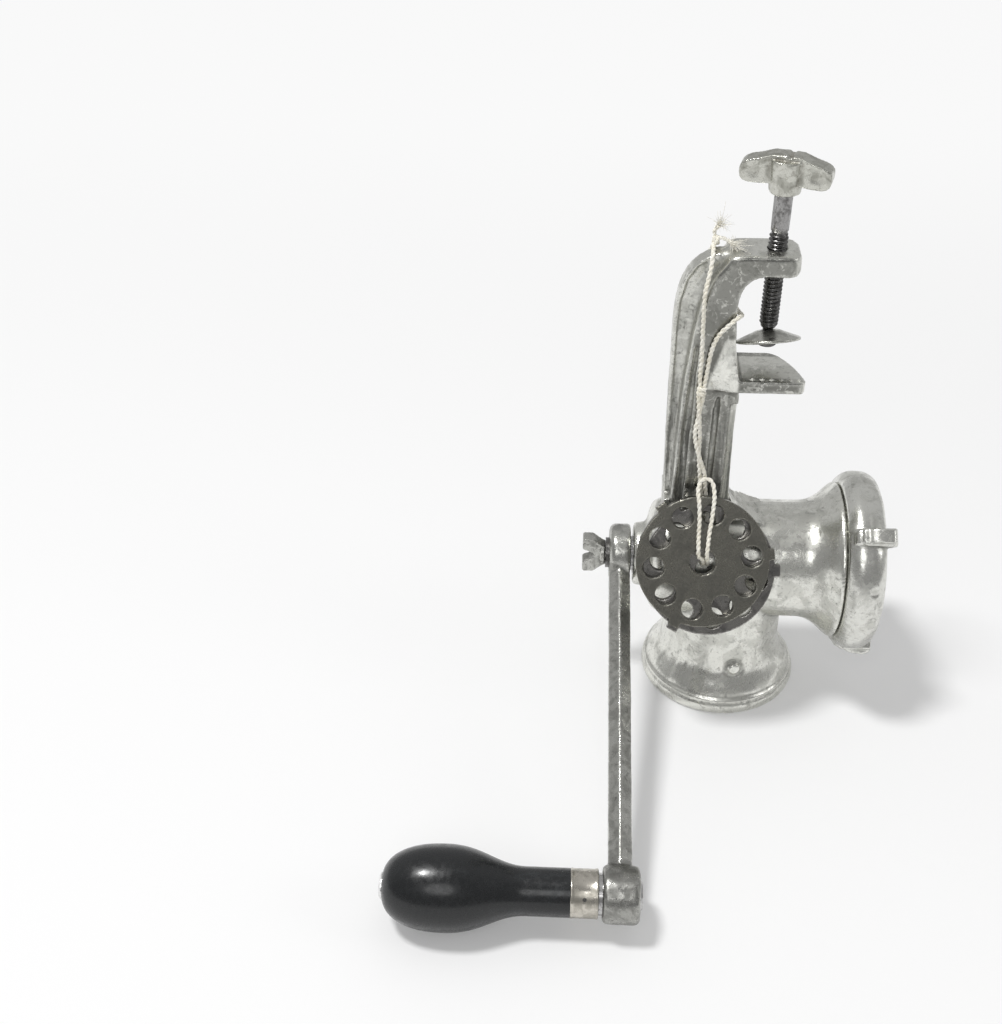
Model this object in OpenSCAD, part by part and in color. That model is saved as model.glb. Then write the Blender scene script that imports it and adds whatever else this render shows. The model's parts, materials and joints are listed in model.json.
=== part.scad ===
// Hand crank meat grinder, small family size, standing on its hopper mouth.
// +Z is up, the barrel lies along X with its outlet at +X and the crank at -X.
// The origin is the centre of the hopper mouth, on the surface it stands on.
// All sizes are millimetres.

/* [Hopper] */
// Outer radius of the hopper where it stands
mouth_r = 35; // [33:0.5:38]
// How far the rounded rim stands proud of the standing edge
rim_swell = 1.5; // [0.5:0.1:2.5]
// Height of the rounded rim band
rim_h = 6; // [4:0.5:8]
// Height of the flared part of the hopper
flare_h = 27; // [22:0.5:30]
// Outer radius of the hopper neck
neck_r = 27.2; // [26:0.1:28]
// Wall of the hopper
hopper_wall = 3; // [2:0.1:4]
// Wall of the hopper at its mouth
mouth_wall = 2.5; // [1.5:0.1:3.5]
// Length of the straight land inside the mouth
mouth_land = 3; // [2:0.5:5]

/* [Barrel] */
// Height of the barrel axis above the standing surface
axis_h = 66.5; // [62:0.5:72]
// Outer radius of the barrel
barrel_r = 26.6; // [26:0.1:28]
// Wall of the barrel
barrel_wall = 3.2; // [2.5:0.1:4]
// X of the barrel's rear shoulder
barrel_back = -33; // [-36:0.5:-31]
// Radius of the rear boss that carries the feed screw
boss_r = 14.4; // [13:0.1:16]
// X of the rear face of the boss
boss_back = -44; // [-45:0.5:-42]
// How far the boss stands behind the barrel's end wall
boss_len = 7; // [6:0.5:8]
// Thickness of the barrel's inner end wall
end_wall = 4; // [3:0.5:6]
// Outer radius of the flared collar at the outlet
collar_r = 35.8; // [35:0.1:37]
// X of the outlet collar's face, where the ring nut starts
collar_x = 48; // [46:0.5:50]
// Length of the flare behind the collar
collar_flare = 16; // [12:0.5:20]
// Radius of the screwed spigot that the ring nut runs on
spigot_r = 34; // [33:0.1:34.5]
// Length of the screwed spigot
spigot_len = 12; // [9:0.5:14]

/* [Cutting set] */
// Radius of each hole plate
plate_r = 29.2; // [27:0.1:30]
// Thickness of each hole plate
plate_t = 4.2; // [3:0.1:5]
// Radius of the plate's centre hole
plate_bore_r = 5.8; // [5:0.1:6.5]
// Radius of each coarse hole
coarse_hole_r = 4.7; // [3:0.1:5.2]
// Pitch radius of the coarse holes
coarse_pitch_r = 21.6; // [19:0.1:22.5]
// Number of coarse holes
coarse_holes = 10; // [6:1:10]
// Radius of each hole of the fitted fine plate
fine_hole_r = 2; // [1:0.1:2.4]
// Width of the locating ears on a plate
ear_w = 5; // [3:0.1:6]
// How far the ears stand out of the plate's rim
ear_out = 2.4; // [1.5:0.1:3]
// Radial play of the fitted plate in the barrel
plate_play = 0.4; // [0.2:0.1:0.6]
// Play on each side of an ear in its notch
ear_play = 0.2; // [0.1:0.1:0.4]
// Thickness of the four-bladed knife
knife_t = 5; // [4:0.1:6]
// Radius swept by the knife
knife_r = 27.6; // [24:0.1:28.4]
// Width across the flats of the knife's square hole
knife_square = 12.4; // [12:0.1:14]

/* [Ring nut] */
// Largest radius of the ring nut
ring_r = 40.9; // [39.5:0.1:42]
// Radius of the ring nut's back edge at the seam
ring_back_r = 36.6; // [36:0.1:38]
// Length of the ring nut
ring_len = 16.8; // [15:0.1:19]
// Thickness of the ring nut's front lip
ring_lip = 4; // [3:0.1:5]
// Radius of the round outlet in the ring nut's front
outlet_r = 26.5; // [22:0.1:28]
// Gap between the outlet collar and the ring nut
seam_gap = 0.5; // [0.3:0.1:1]
// Width of each grip lug
lug_w = 6.4; // [5:0.1:10]
// How far each lug stands out of the ring
lug_out = 4.2; // [2:0.1:6]
// How far each lug runs past the ring's front face
lug_front = 3; // [1:0.1:5]
// Number of grip lugs
lugs = 3; // [2:1:6]
// Angle of the first lug above the horizontal
lug_angle = 51; // [0:1:89]

/* [Feed screw] */
// Radius of the feed screw's core at the rear
core_back_r = 11; // [9:0.1:13]
// Radius of the feed screw's core at the outlet end
core_front_r = 15.5; // [13:0.1:17]
// Pitch of the feed screw's flight
flight_pitch = 17; // [12:0.5:24]
// Thickness of the flight at its edge
flight_t = 3.4; // [2:0.1:5]
// Gap between the flight and the barrel's bore
flight_gap = 0.6; // [0.3:0.1:1.2]
// Radius of the feed screw's rear journal
journal_r = 8; // [7:0.1:9]
// Radius of the stud that carries the knife
stud_r = 5.5; // [4.5:0.1:5.8]
// How far the stud enters the feed screw
stud_len = 11.5; // [8:0.5:14]
// Radial running clearance of turning fits
running = 0.06; // [0.03:0.01:0.09]
// Radial clearance of fits that stay put
snug = 0.02; // [0.01:0.01:0.04]
// Clearance across the flats of the square drives
square_play = 0.1; // [0.05:0.01:0.2]
// Gap left at seats that turn or slide face to face
face_gap = 0.1; // [0.05:0.01:0.2]
// Thickness of the thrust washer inside the barrel
thrust_t = 2; // [1:0.1:3]

/* [Crank] */
// Distance from the barrel axis to the handle axis
crank_len = 166.7; // [120:0.5:175]
// Angle of the crank below the horizontal as it rests
crank_droop = 16.9; // [16:0.1:17.2]
// Thickness of the crank arm along X
arm_t = 9.6; // [8:0.1:11]
// X of the crank arm's inner face
arm_in = -45.4; // [-48:0.1:-45.3]
// Height of the crank arm's ridged section
arm_h = 9.6; // [8:0.1:12]
// Radius of the crank's hub
hub_r = 13.6; // [12:0.1:16]
// Width of the square that drives the hub
drive_square = 9.6; // [8:0.1:10.4]
// Radius of the boss at the handle end of the crank
handle_boss_r = 11.4; // [10:0.1:13]
// How far the handle boss stands past the arm on the inner side
handle_boss_in = 3; // [1:0.1:4]
// How far the handle boss stands past the arm on the outer side
handle_boss_out = 2.3; // [1:0.1:4]

/* [Handle] */
// Radius of the handle spindle
spindle_r = 3.5; // [3:0.1:4.5]
// Length of the wooden grip past its ferrule
grip_len = 74.4; // [60:0.5:90]
// Largest radius of the grip
grip_r = 17.2; // [15:0.1:17.4]
// Radius of the grip where it enters the ferrule
grip_neck_r = 9.6; // [8.6:0.1:10.4]
// Length of the ferrule
ferrule_len = 11; // [8:0.5:16]
// Wall of the ferrule
ferrule_wall = 0.8; // [0.5:0.1:1.2]
// How far the ferrule stands proud of the grip
ferrule_proud = 0.25; // [0.1:0.05:0.5]
// Radius of the ferrule's fixing pin
ferrule_pin_r = 0.8; // [0.5:0.1:1.2]
// Thickness of the washer between the crank and the ferrule
grip_washer_t = 1.5; // [0.8:0.1:2.5]
// Radius of the riveted cap at the tip of the grip
cap_r = 5.5; // [4.5:0.1:6]
// Thickness of the riveted cap
cap_t = 1.2; // [0.8:0.1:2]

/* [Thumb screw] */
// Radius of the thumb screw's shank
thumb_shank_r = 2.9; // [2:0.1:3.4]
// How far the thumb screw's shank enters the feed screw
thumb_reach = 20; // [16:0.5:24]
// Span across the thumb screw's ears
thumb_span = 18.4; // [14:0.1:24]
// Length of the thumb screw outside the washer
thumb_len = 10.6; // [9:0.1:14]
// Radius of the thumb screw's collar
thumb_collar_r = 5.2; // [4.6:0.1:6]
// Length of the thumb screw's collar
thumb_collar_len = 2.2; // [1.5:0.1:3]
// Thickness of the thumb screw's ears
thumb_t = 5; // [3:0.1:7]
// Radius of the washer under the thumb screw
thumb_washer_r = 7; // [6:0.1:9]
// Thickness of the washer under the thumb screw
thumb_washer_t = 1.6; // [1:0.1:2.5]

/* [Leg and clamp] */
// Height above the barrel axis at which the leg stands clear of the barrel
leg_foot_h = 34; // [32:0.5:38]
// Height above the barrel axis at which the leg starts to lean outwards
leg_bend_h = 90; // [84:0.5:92]
// Width of the leg's flanges along Y
leg_w = 20; // [17:0.5:24]
// X of the leg's outer face
leg_out_x = -33; // [-34:0.5:-32]
// Height of the top of the clamp arm
arm_top = 222.5; // [215:0.5:230]
// Thickness of the clamp arm at its screw boss
arm_end_t = 9; // [7:0.1:11]
// X of the free end of the clamp arm
arm_end_x = 15.4; // [14.4:0.1:18]
// How far the web along the leg's outer edge lies behind the leg's faces
recess = 6.2; // [4:0.1:7]
// Depth of the shallow panel inside the web's rim
panel = 0.8; // [0.3:0.1:1.2]
// Height of the jaw shelf's top face
shelf_z = 167; // [160:0.5:168]
// Thickness of the jaw shelf
shelf_t = 5.6; // [4:0.1:8]
// Width of the jaw shelf
shelf_w = 26; // [22:0.5:32]
// X of the jaw shelf's free end
shelf_x = 22.4; // [18:0.1:26]
// Height of the triangular back plate above the shelf
back_plate_h = 19; // [14:0.5:22]

/* [Clamp screw] */
// X of the clamp screw's axis
screw_x = 5.9; // [4:0.1:7]
// Radius of the clamp screw's thread
screw_r = 3.9; // [3.5:0.1:4.5]
// Height of the screw's shoulder above the jaw shelf, as it is wound
screw_rise = 20; // [16:0.5:25]
// Radius of the neck that carries the pad
screw_neck_r = 2.2; // [1.8:0.1:2.6]
// Length of the neck that carries the pad
screw_neck_len = 6.7; // [6.5:0.1:8]
// Radius of the peened end under the pad
peen_r = 4.4; // [4.1:0.1:5]
// Thickness of the peened end under the pad
peen_t = 1.6; // [1:0.1:2.5]
// Radius of the clamp pad
pad_r = 13.4; // [11:0.1:14]
// Height of the clamp pad's cone
pad_h = 4; // [3:0.1:5]
// Wall of the clamp pad
pad_wall = 1.6; // [1.2:0.1:2]
// Tip of the pad towards the back, as it hangs
pad_tip = 24; // [0:1:24]
// Lean of the pad towards the leg, as it hangs
pad_lean = 6; // [0:1:8]
// Radius of the flat at the top of the pad's cone
pad_apex_r = 4.6; // [4:0.1:5.5]
// Rounding of the clamp pad's rim
pad_edge = 0.6; // [0.3:0.1:0.9]
// Play between the pad's hole and the neck
pad_play = 1; // [0.8:0.1:1.2]
// Gap between the hanging pad and the screw's shoulder
pad_gap = 0.35; // [0.2:0.05:0.5]
// Height of the knob's boss above the clamp arm, as it is wound
knob_rise = 23.5; // [18:0.5:27]
// Height of the knob's boss
knob_h = 13.6; // [12:0.1:15]
// Thickness of the knob's wings
knob_t = 8; // [6:0.1:10]
// How far above the boss's underside the wings start
wing_rise = 3.4; // [2:0.1:4]
// Height of the wings
wing_h = 12.2; // [11.5:0.1:14]
// How far the clamp screw enters its knob
knob_socket = 9; // [7:0.5:11]
// Length of the T-shaped knob
knob_len = 36; // [30:0.5:44]
// Turn of the knob about its axis
knob_turn = -17; // [-90:1:90]
// Radius of the knob's boss
knob_boss_r = 7.2; // [6:0.1:9]

/* [Spare plates] */
// X of the front spare plate's centre
spare_x = -15.2; // [-15.2:0.1:-12]
// Lean of the hanging plates from the vertical
spare_lean = 27; // [26:0.5:28]
// Shift of the rear spare plate along X
spare_shift_x = 3.2; // [0:0.1:4]
// Drop of the rear spare plate along its own face
spare_drop = 4.4; // [0:0.1:4.6]
// Gap between the two spare plates
spare_gap = 0.3; // [0.1:0.1:0.4]
// How far the pair hangs above the barrel axis along its own face
spare_slide = 3.5; // [3:0.1:4]

/* [String] */
// Radius of the cotton string
string_r = 0.9; // [0.6:0.1:0.9]

/* [Hidden] */
fine = 96;   // facets of round pieces
soft = 32;   // facets of small rounded edges
eps = 0.01;  // overlap that joins two shapes of one casting
big = 400;   // longer than anything cut with it

bore_r = barrel_r - barrel_wall;
throat_r = neck_r - hopper_wall;
bore_back = boss_back + boss_len + end_wall;
ring_back = collar_x + seam_gap;
ring_front = ring_back + ring_len;
plate_front = ring_front - ring_lip - face_gap;
plate_back = plate_front - plate_t;
chamber_r = plate_r + plate_play;
knife_front = plate_back - face_gap;
knife_back = knife_front - knife_t;
chamber_back = knife_back - 1.5;
spigot_front = collar_x + spigot_len;
worm_front = knife_back - face_gap;
worm_back = bore_back + thrust_t + 2 * face_gap;
flight_r = bore_r - flight_gap;
arm_out = arm_in - arm_t;
ear_angles = [0, 120, 240];

handle_y = -crank_len * cos(crank_droop);
handle_z = axis_h - crank_len * sin(crank_droop);
handle_in = arm_in + handle_boss_in;
handle_out = arm_out - handle_boss_out;
ferrule_in = handle_out - grip_washer_t - face_gap;
ferrule_out = ferrule_in - ferrule_len;
ferrule_r = grip_neck_r + ferrule_proud;
tenon_r = ferrule_r - ferrule_wall - snug;
grip_tip = ferrule_out - grip_len;

thumb_in = arm_out - thumb_washer_t - face_gap;
leg_h2 = leg_w / 2;
screw_tip_z = shelf_z + screw_rise;
knob_z = arm_top + knob_rise;

// Where the string is knotted on top of the clamp arm, and where its two strands join.
tie_top = [-18.5, 3.2, 223.2];
join = [-20.4, -12.6, 162];
// The loop round the clamp arm, from the joining knot and back to it.
tie_route = [[-21, -12, 163], [-21.5, -11.5, 168], [-21.5, -11.5, 178], [-22, -11.5, 190],
    [-22.5, -11.5, 205], [-21.5, -9.5, 211.5], [-20.5, -7, 216.5], [-20, -5, 220.5],
    [-19.5, 0, 221.5], [-19, 5, 221], [-19.5, 7.5, 218], [-20, 10.5, 213.5],
    [-19, 11.5, 208.5], [-15.5, 12, 202], [-12, 12, 194], [-7.5, 11.5, 190],
    [-6.5, 6, 190.5], [-6.5, 0, 192.5], [-6.2, -6, 194.5], [-8, -11, 196],
    [-11.5, -12, 193], [-15, -11.5, 188.5], [-17.5, -11.5, 182], [-18.5, -11.5, 174],
    [-19, -11.5, 168], [-19.5, -12, 163]];
// The doubled string below the joining knot, which holds the spare plates in a hitch.
plate_route = [[-21.5, -12.5, 159.5], [-20.5, -13.5, 150], [-19.5, -12.5, 140],
    [-19, -11.5, 130], [-18, -11.5, 121], [-17, -12, 113], [-16, -12, 104], [-16, -15.5, 97],
    [-15.5, -20, 88], [-15, -24, 81.5], [-14.5, -27, 82], [-15, -29.5, 86],
    [-17, -31.5, 89.5], [-17.5, -31, 93], [-17.5, -27.5, 98.5], [-17.5, -24, 105.5],
    [-18, -21, 111.5], [-18.5, -18, 115], [-17.5, -15.5, 118], [-15, -14.5, 119],
    [-12.5, -15.5, 118], [-11.5, -18, 115], [-11.5, -21, 111.5], [-12, -24, 105.5],
    [-13, -27.5, 98.5], [-13.5, -31, 93], [-13.5, -31.5, 89.5], [-13, -29.5, 86],
    [-12.5, -27, 82], [-12.5, -24, 81.5], [-13, -20, 88], [-13, -15.5, 97],
    [-13.5, -12, 104], [-15, -12, 113], [-16, -13, 121], [-19, -13.5, 130],
    [-21.5, -12.5, 140], [-20.5, -11.5, 150], [-19.5, -12.5, 159.5]];

// ---------- curves ----------

// Points along a cubic curve from a to d, drawn towards b and c.
function curve(a, b, c, d, n = 12) =
    [for (i = [0:n]) let(t = i / n, s = 1 - t)
        s * s * s * a + 3 * s * s * t * b + 3 * s * t * t * c + t * t * t * d];

// Points along an arc.
function arc(cx, cy, r, a0, a1, n = 10) =
    [for (i = [0:n]) let(a = a0 + (a1 - a0) * i / n) [cx + r * cos(a), cy + r * sin(a)]];

// Smooth direction of a route at point i.
function heading(p, i) = unit(p[min(i + 1, len(p) - 1)] - p[max(i - 1, 0)]);
function unit(v) = v / norm(v);

// Turns an [x, r] outline round the barrel axis, or round a line parallel to it.
module turned(outline, y = 0, z = axis_h) {
    translate([0, y, z])
        rotate([0, 90, 0])
            rotate_extrude($fn = fine)
                polygon([for (p = outline) [p[1], p[0]]]);
}

// A straight round bar along X from x0 to x1.
module bar_x(x0, x1, r, y = 0, z = axis_h) {
    translate([min(x0, x1), y, z])
        rotate([0, 90, 0])
            cylinder(h = abs(x1 - x0), r = r, $fn = fine);
}

// A square bar along X from x0 to x1, turned with the crank.
module square_x(x0, x1, w) {
    translate([x0, 0, axis_h])
        rotate([-crank_droop, 0, 0])
            translate([0, -w / 2, -w / 2])
                cube([x1 - x0, w, w]);
}

// An [x, z] outline given a width along Y, centred on y.
module plate_xz(outline, w, y = 0) {
    translate([0, y + w / 2, 0])
        rotate([90, 0, 0])
            linear_extrude(w)
                polygon(outline);
}

// ---------- body casting ----------

module hopper_outside() {
    rim = concat([[mouth_r, 0]],
        curve([mouth_r, 0], [mouth_r + rim_swell, 0.6], [mouth_r + rim_swell * 1.2, rim_h * 0.6],
              [mouth_r + rim_swell * 0.6, rim_h * 0.9], 6));
    bead = curve([mouth_r + 0.1, rim_h * 1.05], [mouth_r + 1, rim_h * 1.12],
                 [mouth_r + 0.6, rim_h * 1.3], [mouth_r - 0.7, rim_h * 1.38], 5);
    flare = curve([mouth_r - 0.9, rim_h * 1.45], [mouth_r - 3, flare_h * 0.56],
                  [neck_r + 0.3, flare_h * 0.62], [neck_r, flare_h], 12);
    rotate_extrude($fn = fine)
        polygon(concat([[0, 0]], rim, bead, flare, [[neck_r, axis_h], [0, axis_h]]));
}

module hopper_inside() {
    lip = mouth_r - mouth_wall;
    flare = curve([lip, mouth_land], [lip - 1, flare_h * 0.55],
                  [throat_r + 1, flare_h * 0.6], [throat_r, flare_h], 12);
    rotate_extrude($fn = fine)
        polygon(concat([[0, -1], [lip, -1]], flare, [[throat_r, axis_h], [0, axis_h]]));
}

module barrel_outside() {
    shoulder = curve([boss_back + 5, boss_r + 0.6], [boss_back + 8, boss_r + 2],
                     [barrel_back - 6, barrel_r], [barrel_back + 4, barrel_r], 8);
    flare = curve([collar_x - collar_flare, barrel_r + 0.4], [collar_x - 9, barrel_r + 0.8],
                  [collar_x - 5, collar_r - 2.5], [collar_x - 1.6, collar_r - 0.3], 10);
    turned(concat([[boss_back, 0], [boss_back, boss_r - 1], [boss_back + 1, boss_r]],
                  shoulder, flare,
                  [[collar_x, collar_r], [collar_x, spigot_r], [spigot_front - 0.8, spigot_r],
                   [spigot_front, spigot_r - 0.8], [spigot_front, 0]]));
}

module barrel_inside() {
    bar_x(bore_back, spigot_front + 1, bore_r);
    bar_x(chamber_back, spigot_front + 1, chamber_r);
    bar_x(boss_back - 1, bore_back + 1, journal_r + running);
    for (a = ear_angles)
        translate([plate_back - face_gap, 0, axis_h])
            rotate([a, 0, 0])
                translate([0, 0, -ear_w / 2 - ear_play])
                    cube([big, plate_r + ear_out + ear_play, ear_w + 2 * ear_play]);
}

// Side outline of the leg and clamp arm.
function leg_outline() = let(top = arm_top, under = arm_top - arm_end_t)
    concat([[leg_out_x + 1, axis_h], [leg_out_x + 0.8, axis_h + leg_foot_h],
            [leg_out_x - 0.4, axis_h + leg_bend_h]],
           curve([leg_out_x - 0.5, top - 36], [leg_out_x - 1, top - 9.5],
                 [leg_out_x + 7, top - 0.2], [leg_out_x + 29, top - 0.2], 12),
           curve([arm_end_x - 4, top], [arm_end_x - 1, top], [arm_end_x, top - 1],
                 [arm_end_x, top - 3.5], 5),
           curve([arm_end_x, under + 2], [arm_end_x - 0.4, under + 0.4],
                 [arm_end_x - 2, under], [arm_end_x - 5, under - 0.2], 5),
           curve([1, under], [-6, under - 1], [-9, under - 6], [-8.6, under - 18], 8),
           [[-7.4, shelf_z + 14], [-4.8, shelf_z], [-4.2, shelf_z - shelf_t - 5],
            [-4.4, shelf_z - shelf_t - 24]],
           curve([-3.6, axis_h + leg_foot_h + 6], [-2.4, axis_h + leg_foot_h - 1], [2, axis_h + 29],
                 [13, axis_h + barrel_r - 0.5], 6),
           [[13, axis_h]]);

// Ground that is cut away on each side, so that a thin web is left along the leg's outer edge.
function web_cut_outline() = let(top = arm_top, out = leg_out_x)
    [[out - 5, axis_h + 38], [out + 3.6, axis_h + 38], [out + 4.2, axis_h + 67],
     [out + 4.7, top - 67], [out + 6, top - 50], [out + 7.5, top - 35], [out + 9.5, top - 22],
     [out + 12, top - 15], [out + 14.3, top - 9.5], [out + 18, top - 4.5], [out + 21.5, top + 1],
     [out - 5, top + 1]];

// Shallow panel inside the web's thin rim.
function panel_outline() = let(top = arm_top, out = leg_out_x)
    [[out + 1.2, axis_h + 50], [out + 2.4, axis_h + 50], [out + 2.6, top - 67],
     [out + 3.6, top - 50], [out + 4.7, top - 36], [out + 6.6, top - 22], [out + 9.4, top - 14.5],
     [out + 13, top - 8.5], [out + 11.5, top - 4.8], [out + 7.5, top - 7.5], [out + 3.5, top - 14],
     [out + 1.3, top - 24], [out + 0.8, top - 36]];

// Narrow flute between the long rib and the thick inner part of the leg.
function flute_outline() =
    [[-27.5, axis_h + 32], [-24.4, axis_h + 32], [-22.6, shelf_z + 20], [-22.4, shelf_z + 28],
     [-23.2, shelf_z + 28], [-26.6, axis_h + leg_bend_h - 12]];

// Groove between the two cast ribs below the shelf.
function rib_groove_outline() =
    [[-15, axis_h + 30], [-12.6, axis_h + 30], [-11.8, shelf_z - shelf_t - 8],
     [-12.2, shelf_z - shelf_t - 4], [-13.4, shelf_z - shelf_t - 4], [-14.4, shelf_z - shelf_t - 10]];

module leg() {
    difference() {
        plate_xz(leg_outline(), leg_w);
        for (side = [-1, 1]) {
            plate_xz(web_cut_outline(), recess + 1, side * (leg_h2 - recess / 2 + 0.5));
            plate_xz(panel_outline(), 2 * panel, side * (leg_h2 - recess));
            plate_xz(flute_outline(), 4, side * leg_h2);
            plate_xz(rib_groove_outline(), 3, side * leg_h2);
        }
        inner_edge_cuts();
        arm_corner_cuts();
    }
}

// Rounds the two corners of the clamp arm's free end, seen from above.
module arm_corner_cuts() {
    r = 5;
    for (side = [0, 1])
        mirror([0, side, 0])
            translate([arm_end_x - r, leg_h2 - r, arm_top - big / 4])
                difference() {
                    cube([r + 1, r + 1, big / 2]);
                    cylinder(h = big, r = r, center = true, $fn = fine);
                }
}

// Slanted cuts that turn the inner edge of the leg away below the shelf.
module inner_edge_cuts() {
    low = axis_h + 28;
    high = shelf_z - shelf_t - 7;
    for (side = [-1, 1])
        translate([-4.4, side * leg_h2, low])
            rotate([0, 0, side * 40])
                translate([-2.6, -5, 0])
                    cube([12, 10, high - low]);
}

module shelf() {
    near = -shelf_w / 2;
    far = shelf_w / 2;
    translate([0, 0, shelf_z - shelf_t])
        linear_extrude(shelf_t)
            polygon(concat([[-8, near]],
                arc(shelf_x - 2.5, near + 2.5, 2.5, -90, 0, 6),
                curve([shelf_x - 0.6, near + 5], [shelf_x - 2, near + 10],
                      [shelf_x - 7, far - 1], [shelf_x - 14, far], 8),
                [[-8, far]]));
}

// Triangular plate that meets the table's edge, spreading from the leg to the shelf's width.
module back_plate() {
    half = shelf_w / 2;
    low = shelf_z - shelf_t;
    hull() {
        translate([-17, -leg_h2 + eps, low])
            cube([12, leg_w - 2 * eps, shelf_t]);
        translate([-8.5, -half, low])
            cube([3.4, shelf_w, shelf_t]);
        translate([-14, -leg_h2 + eps, shelf_z + back_plate_h - 1])
            cube([4.6, leg_w - 2 * eps, 1]);
    }
}

module body_casting() {
    color([0.72, 0.72, 0.70])
        difference() {
            union() {
                difference() {
                    union() {
                        hopper_outside();
                        barrel_outside();
                        leg();
                    }
                    hopper_inside();
                    barrel_inside();
                }
                shelf();
                back_plate();
            }
            translate([screw_x, 0, shelf_z + back_plate_h])
                cylinder(h = big, r = screw_r + running, $fn = fine);
        }
}

// ---------- feed screw and cutting set ----------

module feed_screw() {
    len = worm_front - worm_back;
    color([0.66, 0.66, 0.65])
        difference() {
            union() {
                turned([[worm_back, 0], [worm_back, core_back_r], [worm_front, core_front_r],
                        [worm_front, 0]]);
                bar_x(boss_back - 1, worm_back + 1, journal_r);
                square_x(arm_out + 0.6, boss_back, drive_square);
                translate([worm_back, 0, axis_h])
                    rotate([0, 90, 0])
                        linear_extrude(len, twist = 360 * len / flight_pitch, slices = 60)
                            flight_section();
            }
            bar_x(worm_front - stud_len - 0.5, worm_front + 1, stud_r + snug);
            bar_x(arm_out - 1, arm_out + thumb_reach + 2, thumb_shank_r + running);
        }
}

// Cross-section of the flight, a spoke that the twist draws into a helix.
module flight_section() {
    spread = 360 * flight_t / flight_pitch / 2;
    polygon(concat([[0, 0]], arc(0, 0, flight_r, -spread, spread, 8)));
}

module thrust_washer() {
    color([0.45, 0.42, 0.38])
        difference() {
            bar_x(bore_back + face_gap, bore_back + face_gap + thrust_t, core_back_r + 4);
            bar_x(bore_back - 1, bore_back + thrust_t + 2, journal_r + running);
        }
}

module knife_stud() {
    color([0.55, 0.56, 0.57])
        union() {
            bar_x(worm_front - stud_len, worm_front, stud_r);
            square_x(worm_front, knife_front, knife_square - square_play);
            bar_x(knife_front, ring_front - 0.6, plate_bore_r - running);
        }
}

// Outline of the knife's four blades, with a corner inside the hub between each two.
function knife_outline() =
    [for (i = [0:3])
        each [for (p = concat([[4.2, 12]], arc(0, 0, knife_r, 84, 100, 5), [[-4.4, 12], [-6, 6]]))
            [p[0] * cos(i * 90) - p[1] * sin(i * 90), p[0] * sin(i * 90) + p[1] * cos(i * 90)]]];

module knife() {
    hub_rise = 0.4;
    color([0.60, 0.60, 0.60])
        difference() {
            union() {
                bar_x(knife_back, knife_front - hub_rise, 11.5);
                translate([knife_back + hub_rise, 0, axis_h])
                    rotate([-crank_droop, 0, 0])
                        rotate([90, 0, 90])
                            linear_extrude(knife_t - hub_rise)
                                polygon(knife_outline());
            }
            square_x(knife_back - 1, knife_front + 1, knife_square);
        }
}

// One perforated plate lying in the XY plane, with its outer face up.
module perforated_plate(rings, with_ears) {
    difference() {
        union() {
            cylinder(h = plate_t, r = plate_r, $fn = fine);
            if (with_ears)
                for (a = ear_angles)
                    rotate([0, 0, a])
                        translate([0, -ear_w / 2, 0])
                            cube([plate_r + ear_out, ear_w, plate_t]);
        }
        translate([0, 0, -1])
            cylinder(h = plate_t + 2, r = plate_bore_r, $fn = fine);
        for (ring = rings)
            for (i = [0:ring[1] - 1])
                rotate([0, 0, ring[3] + i * 360 / ring[1]])
                    translate([ring[0], 0, -1])
                        cylinder(h = plate_t + 2, r = ring[2], $fn = soft);
    }
}

module hole_plate() {
    color([0.55, 0.55, 0.54])
        translate([plate_back, 0, axis_h])
            rotate([90, 0, 90])
                perforated_plate([[10.5, 10, fine_hole_r, 0], [16.2, 16, fine_hole_r, 8],
                                  [22, 22, fine_hole_r, 0]], true);
}

module ring_nut() {
    outside = concat([[ring_back, spigot_r + running], [ring_back, ring_back_r]],
        curve([ring_back + 0.3, ring_back_r + 0.8], [ring_back + 2, ring_r - 1.4],
              [ring_back + 4, ring_r], [ring_back + 7, ring_r], 8),
        curve([ring_back + 10, ring_r], [ring_front - 3, ring_r - 0.4],
              [ring_front - 0.4, ring_r - 2.6], [ring_front, ring_r - 5], 8),
        [[ring_front, outlet_r + 1], [ring_front - 1, outlet_r],
         [plate_front + face_gap, outlet_r], [plate_front + face_gap, spigot_r + running]]);
    color([0.74, 0.74, 0.72]) {
        turned(outside);
        for (i = [0:lugs - 1])
            translate([0, 0, axis_h])
                rotate([180 - lug_angle + i * 360 / lugs, 0, 0])
                    lug();
    }
}

// One hooked lug, standing out along +Y from the ring.
module lug() {
    tip = ring_r + lug_out;
    end = ring_front + lug_front;
    translate([0, 0, -lug_w / 2])
        linear_extrude(lug_w)
            polygon(concat([[ring_back + 5, ring_r - 1.5]],
                curve([ring_back + 6, ring_r + 0.3], [ring_back + 9, tip - 0.3],
                      [ring_back + 11, tip], [end - 4, tip], 6),
                curve([end - 3, tip], [end, tip], [end, tip - 2], [end, tip - 4], 5),
                curve([end, tip - 7.5], [end, tip - 10.5], [end - 2.2, tip - 11.2],
                      [end - 3.6, tip - 10], 5),
                [[ring_front - 1.5, ring_r - 5.5], [ring_back + 5, ring_r - 4]]));
}

// ---------- crank and handle ----------

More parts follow.
